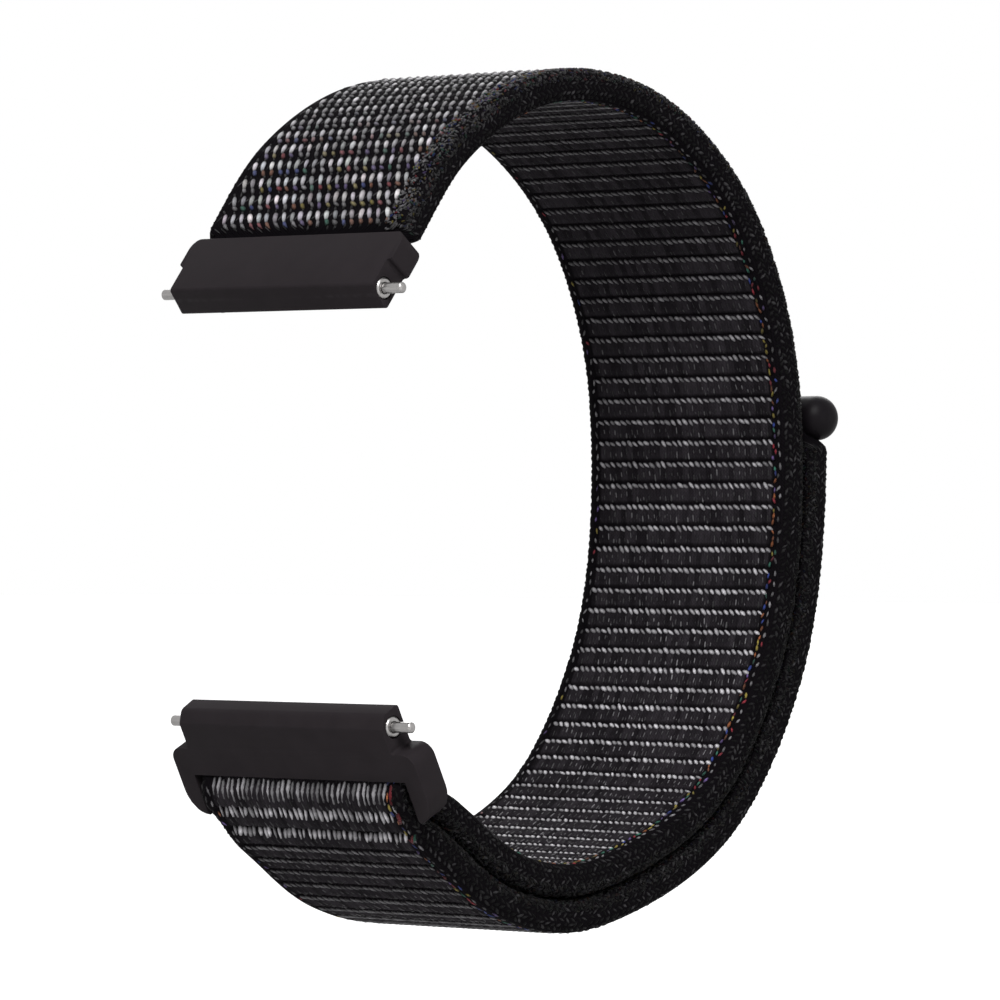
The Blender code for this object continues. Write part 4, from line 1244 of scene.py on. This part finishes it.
@dataclass(frozen=True)
class NylonFinish(Finish):
    """Nylon yarn or ground cloth, which takes its colours from the piece.

    Attributes:
        texture: the threads that it shows.
        shade: the least and the greatest share of its colour that shows on them.
        depth: the depth of the threads.
        gloss: its specular level.
    """

    texture: Texture = Texture.FIBRE
    shade: tuple[float, float] = (0.45, 1.45)
    depth: float = 0.00003
    gloss: float = 0.12

    def make(self, effects: Effects) -> bpy.types.Material:
        """Build the material from the piece's own colours and the threads."""
        material, graph, shader = self.start()
        tint = graph.add("Attribute", attribute_name="yarn_colour").outputs["Color"]
        threads = graph.add("Group", node_tree=getattr(effects, self.texture.value)).outputs
        shade = graph.spread(threads["Shade"], *self.shade)
        grey = graph.add("CombineColor", {0: shade, 1: shade, 2: shade}).outputs[0]
        colour = graph.mix(1.0, tint, grey, "MULTIPLY")
        rough = graph.spread(threads["Shade"], self.roughness - 0.1, self.roughness + 0.1)
        graph.fill(shader, {"Base Color": colour, "Roughness": rough, "Specular IOR Level": self.gloss,
                            "Normal": graph.bump(threads["Height"], self.depth)})
        return material


@dataclass(frozen=True)
class PlasticFinish(Finish):
    """Moulded plastic with a fine grain, and edges painted lighter, partly as rubbed wear and partly as a painted
    highlight.

    Attributes:
        grain: the size of its grain.
        depth: the depth of its grain.
        edge: the colour that its edges are painted, as rubbed wear and as a painted highlight.
        gloss: its specular level.
    """

    grain: float = 0.00012
    depth: float = 0.000004
    edge: tuple[float, float, float] = (0.022, 0.019, 0.021)
    gloss: float = 0.14

    def make(self, effects: Effects) -> bpy.types.Material:
        """Build the material from the moulding grain and the edges painted as wear and as highlight."""
        material, graph, shader = self.start()
        grain = graph.add("Group", {"Size": self.grain}, node_tree=effects.grain).outputs
        wear_and_highlight = graph.add("Group", node_tree=effects.wear_and_highlight).outputs["Mask"]
        patches = graph.spread(grain["Patches"])
        body = graph.mix(patches, tone(self.colour, 0.82), tone(self.colour, 1.15))
        # Edges painted lighter: partly rubbed wear, partly a painted highlight.
        colour = graph.mix(wear_and_highlight, body, tone(self.edge))
        rough = graph.spread(grain["Patches"], self.roughness - 0.06, self.roughness + 0.06)
        rubbed = graph.math("SUBTRACT", rough, graph.times(wear_and_highlight, 0.1))
        graph.fill(shader, {"Base Color": colour, "Roughness": rubbed, "Specular IOR Level": self.gloss,
                            "Normal": graph.bump(grain["Height"], self.depth)})
        return material


@dataclass(frozen=True)
class SteelFinish(Finish):
    """Turned steel, with fine tool rings along its own axis.

    Attributes:
        ring: the distance between two tool rings.
        depth: the depth of the rings.
    """

    ring: float = 0.00006
    depth: float = 0.000003

    BANDS_PER_SCALE = 20
    BLUR_SIZE = 0.0001

    def make(self, effects: Effects) -> bpy.types.Material:
        """Build the material from rings along Y, with noises in its colour and its roughness."""
        material, graph, shader = self.start()
        place = graph.add("TexCoord").outputs["Object"]
        scale = 1 / self.ring / self.BANDS_PER_SCALE
        rings = graph.add("TexWave", {"Vector": place, "Scale": scale, "Distortion": 1.5, "Detail": 2.0,
                                      "Detail Scale": 2.0}, wave_type="BANDS", bands_direction="Y").outputs["Fac"]
        grain = graph.add("Group", {"Size": self.BLUR_SIZE}, node_tree=effects.grain).outputs
        colour = graph.mix(grain["Patches"], tone(self.colour, 0.72), tone(self.colour))
        rough = graph.spread(grain["Height"], self.roughness - 0.08, self.roughness + 0.12)
        graph.fill(shader, {"Base Color": colour, "Metallic": 1.0, "Roughness": rough,
                            "Normal": graph.bump(rings, self.depth)})
        return material


# The hard parts

@dataclass
class SoftenedSolid:
    """A rigid part whose solid is copied, merged at its corners and softened at its edges.

    Attributes:
        name: the new piece's name.
        node: the node that it stands for.
        body: the body that it moves with.
        slot: a material slot's name; not used.
        edge: the radius of its softened edges.
        segments: how many steps round such an edge.
    """

    name: str
    node: str
    body: str
    slot: str
    edge: float
    segments: int = 3

    MERGED = 1e-6
    FLAT_ANGLE = math.radians(1)
    EDGE_ANGLE = math.radians(28)

    def build(self, material: bpy.types.Material) -> None:
        """Make the piece and dress it."""
        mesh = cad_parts[self.node].data.copy()
        mesh.materials.clear()
        mesh.materials.append(material)
        solid = bmesh.new()
        solid.from_mesh(mesh)
        bmesh.ops.remove_doubles(solid, verts=solid.verts, dist=self.MERGED)
        bmesh.ops.dissolve_limit(solid, angle_limit=self.FLAT_ANGLE, verts=solid.verts, edges=solid.edges)
        solid.to_mesh(mesh)
        solid.free()
        piece = new_object(self.name, mesh)
        bevel = piece.modifiers.new("soft_edges", "BEVEL")
        bevel.width = self.edge
        bevel.segments = self.segments
        bevel.limit_method = "ANGLE"
        bevel.angle_limit = self.EDGE_ANGLE
        bevel.harden_normals = True
        mesh.shade_smooth()
        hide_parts(self.node)
        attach(piece, self.body)
        LOG.info("%s: %d faces before its edges are softened", self.name, len(mesh.polygons))


def lathe(profile: np.ndarray, centre: np.ndarray, sides: int) -> Surface:
    """Turn a profile about a line along Y.

    Point (i, j) lies at the profile's radius i from the line, at turn j of the full turn.

    Args:
        profile: one row of radius and Y for each ring, with Y falling.
        centre: the line's X and Z.
        sides: how many points in a ring.

    Returns:
        The surface, closed at both ends by a fan.
    """
    turn = np.linspace(0, 2 * math.pi, sides, endpoint=False)
    radius, y = profile[:, :1], profile[:, 1:]
    x = centre[0] + radius * np.cos(turn)
    z = centre[1] + radius * np.sin(turn)
    points = np.stack([x, np.broadcast_to(y, x.shape), z], -1).reshape(-1, 3)
    ends = np.array([[centre[0], profile[0, 1], centre[1]], [centre[0], profile[-1, 1], centre[1]]])
    rows = len(profile)
    return Surface(np.vstack([points, ends]), tube_faces(rows, sides), end_fans(rows, sides))


@dataclass
class EndBead:
    """The round bead moulded on the tail's end.

    Attributes:
        radius: its radius.
        width: its length across the band.
        end_radius: the radius of its rounded ends.
        distance: how far past the tail's grip its middle lies.
        rise: how far its middle stands out from the tail's middle line.
    """

    radius: float = TAB_RADIUS
    width: float = BAND_WIDTH + 0.0004
    end_radius: float = 0.0014
    distance: float = TAIL_LENGTH - TAB_GRIP + TAB_RADIUS
    rise: float = TAB_RADIUS - BAND_THICKNESS / 2 + TAB_OVERHANG

    RIM_RINGS = 12
    SIDES = 72

    def build(self, material: bpy.types.Material) -> None:
        """Turn the bead: a cylinder whose ends are quarter circles."""
        turn = np.linspace(math.pi / 2, 0, self.RIM_RINGS)
        end = self.width / 2
        rim = np.column_stack([
            self.radius - self.end_radius * (1 - np.cos(turn)), end - self.end_radius * (1 - np.sin(turn))
        ])
        profile = np.vstack([rim, rim[::-1] * (1, -1)])
        line, normal = PATH.axes(np.array([PATH.tail_start + self.distance]))
        centre = line[0] + normal[0] * self.rise
        bead = lathe(profile, centre, self.SIDES).make("end_bead", material)
        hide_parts("end_tab")
        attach(bead, "tail_end")
        LOG.info("%s: %d faces", bead.name, len(bead.data.polygons))


class Strap:
    """The whole strap."""

    def __init__(self) -> None:
        """Make the finishes."""
        effects = Effects()
        self.yarn = NylonFinish("silver_nylon_yarn", (0.3, 0.3, 0.3), 0.42).make(effects)
        self.dark_yarn = NylonFinish("black_nylon_yarn", (0.01, 0.01, 0.01), 0.5, gloss=0.03).make(effects)
        self.cloth = NylonFinish(
            "ground_cloth", (0.01, 0.01, 0.01), 0.8, Texture.CLOTH, (0.3, 1.7), depth=0.00004, gloss=0.02
        ).make(effects)
        self.charcoal = PlasticFinish("charcoal_plastic", (0.0168, 0.0141, 0.0157), 0.50, gloss=0.02).make(effects)
        self.satin = PlasticFinish(
            "satin_black_plastic", (0.0052, 0.0042, 0.0053), 0.45, edge=(0.009, 0.008, 0.009), gloss=0.05
        ).make(effects)
        self.steel = SteelFinish("turned_steel", (0.34, 0.33, 0.325), 0.32).make(effects)
        self.hooks = PlasticFinish(
            "black_hook_nylon", (0.009, 0.009, 0.010), 0.42, edge=(0.010, 0.010, 0.011), gloss=0.16
        ).make(effects)

    def build(self) -> None:
        """Build every sub-assembly in order."""
        weave = Weave(WEAVE_SEED)
        tail = PATH.tail_start
        bends = [(tail + at, tail + at + BEND_LENGTH) for at in (0, TAIL_MID_START, TAIL_END_START)]
        stretches = (
            ClothStretch("run", 0.0, PATH.run_length, ("band_run",), "band"),
            ClothStretch("fold", PATH.run_length, tail, ("band_fold",), "band"),
            ClothStretch("tail_root", tail, bends[1][0], ("tail_root",), "band", "tail_root", bends[0]),
            ClothStretch("tail_mid", bends[1][0], bends[2][0], ("tail_mid",), "tail_root", "tail_mid", bends[1]),
            ClothStretch("tail_end", bends[2][0], PATH.length, ("tail_end",), "tail_mid", "tail_end", bends[2]),
        )
        for stretch in stretches:
            stretch.build(weave, self.cloth, self.yarn, self.dark_yarn)
        patch = HOOKS.surface().make("hook_field", self.hooks)
        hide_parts("hook_patch")
        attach(patch, "tail_end")
        LOG.info("%s: %d faces", patch.name, len(patch.data.polygons))
        for end, body in (("fixed", "band"), ("loop", "loop")):
            node = f"{end}_connector"
            SoftenedSolid(f"{node}_body", node, body, "connectors", 0.13 * MM).build(self.charcoal)
        for end, body in (("upper", "band"), ("lower", "loop")):
            for part, holder in (
                ("bar_barrel", body), ("bar_plug", body), ("bar_plunger", f"{end}_plunger"),
                ("release_lever", f"{end}_plunger"),
            ):
                node = f"{end}_{part}"
                SoftenedSolid(f"{node}_turned", node, holder, "steel", 0.03 * MM, 2).build(self.steel)
        EndBead().build(self.satin)
        for end in ("upper", "lower"):
            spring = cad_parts[f"{end}_bar_spring"]
            spring.data.materials.clear()
            spring.data.materials.append(self.steel)


# The studio

@dataclass(frozen=True)
class Softbox:
    """One square area lamp.

    Attributes:
        name: its name.
        place: where it stands.
        size: its side.
        power: its power in watts.
    """

    name: str
    place: tuple[float, float, float]
    size: float
    power: float

    def build(self, target: Vector) -> None:
        """Make the lamp and turn it to the target."""
        lamp = bpy.data.lights.new(self.name, "AREA")
        lamp.shape = "SQUARE"
        lamp.size = self.size
        lamp.energy = self.power
        obj = new_object(self.name, lamp)
        obj.location = self.place
        obj.rotation_euler = (target - Vector(self.place)).to_track_quat("-Z", "Y").to_euler()


@dataclass
class Studio:
    """The camera, the lamps, the world and the floor.

    Attributes:
        eye: where the camera stands.
        target: the point in the middle of its picture.
        roll: how far it is turned about its own line of sight, in degrees.
        lens: its focal length in millimetres, on a sensor 36 mm wide.
        floor_z: the floor's height.
        air: how strongly the air lights the object.
        clear: the two distances between which the floor turns from shaded to plain white.
    """

    eye: tuple[float, float, float] = (-0.32965, -0.32462, -0.01735)
    target: tuple[float, float, float] = (0.02018, -0.00215, -0.01439)
    roll: float = 0.247
    lens: float = 239.0
    floor_z: float = -0.115
    air: float = 0.17
    clear: tuple[float, float] = (0.20, 0.90)

    FLOOR_REACH = 8.0

    def build(self) -> None:
        """Set the studio up."""
        scene = bpy.context.scene
        scene.view_settings.view_transform = "Standard"
        self._camera(scene)
        middle = Vector(self.target)
        for box in (
            Softbox("key", (-0.36, -0.30, 0.42), 0.34, 6.0),
            Softbox("fill", (0.10, -0.62, 0.02), 0.40, 0.7),
            Softbox("back", (0.50, 0.34, 0.30), 0.36, 1.9),
        ):
            box.build(middle)
        self._world(scene)
        self._floor()

    def _camera(self, scene: bpy.types.Scene) -> None:
        """Place the camera."""
        data = bpy.data.cameras.new("camera")
        data.lens = self.lens
        data.sensor_width = 36.0
        data.clip_start = 0.01
        data.clip_end = 20.0
        camera = new_object("camera", data)
        sight = Vector(self.target) - Vector(self.eye)
        turn = sight.to_track_quat("-Z", "Y").to_matrix() @ Matrix.Rotation(math.radians(self.roll), 3, "Z")
        camera.location = self.eye
        camera.rotation_euler = turn.to_euler()
        scene.camera = camera

    @staticmethod
    def _seen(graph: Graph) -> bpy.types.NodeSocket:
        """Tell the rays that show the background from those that light the object by it."""
        path = graph.add("LightPath").outputs
        straight = graph.math("MAXIMUM", path["Is Camera Ray"], path["Is Transmission Ray"])
        return graph.math("MAXIMUM", straight, path["Is Glossy Ray"])

    def _world(self, scene: bpy.types.Scene) -> None:
        """Light the air evenly, and show white behind the object, in metal and through glass."""
        world = bpy.data.worlds.new("studio_air")
        scene.world = world
        world.use_nodes = True
        graph = Graph(world.node_tree)
        strength = graph.spread(self._seen(graph), self.air, 1.0)
        graph.fill(world.node_tree.nodes["Background"], {"Strength": strength, "Color": (1.0, 1.0, 1.0, 1.0)})

    def _floor(self) -> None:
        """Lay a wide white floor: it takes the object's shadow near by, and is plain white far off."""
        material, graph, shader = new_material("pale_floor", (0.82, 0.82, 0.82), 0.9)
        place = graph.add("TexCoord").outputs["Object"]
        away = graph.add("VectorMath", {0: place}, operation="LENGTH").outputs["Value"]
        far = graph.spread(away, 0.0, 1.0, *self.clear)
        strength = graph.times(self._seen(graph), far)
        graph.fill(shader, {"Emission Color": (1.0, 1.0, 1.0, 1.0), "Emission Strength": strength})
        wide = self.FLOOR_REACH
        points = np.array([(-wide, -wide, 0), (wide, -wide, 0), (wide, wide, 0), (-wide, wide, 0)])
        surface = Surface(points + (0, 0, self.floor_z), np.array([[0, 1, 2, 3]]))
        surface.make("floor", material)


def main() -> None:
    """Build the strap and its studio."""
    logging.basicConfig(level=logging.INFO, format="%(name)s: %(message)s")
    Strap().build()
    Studio().build()


if __name__ == "__main__":
    main()
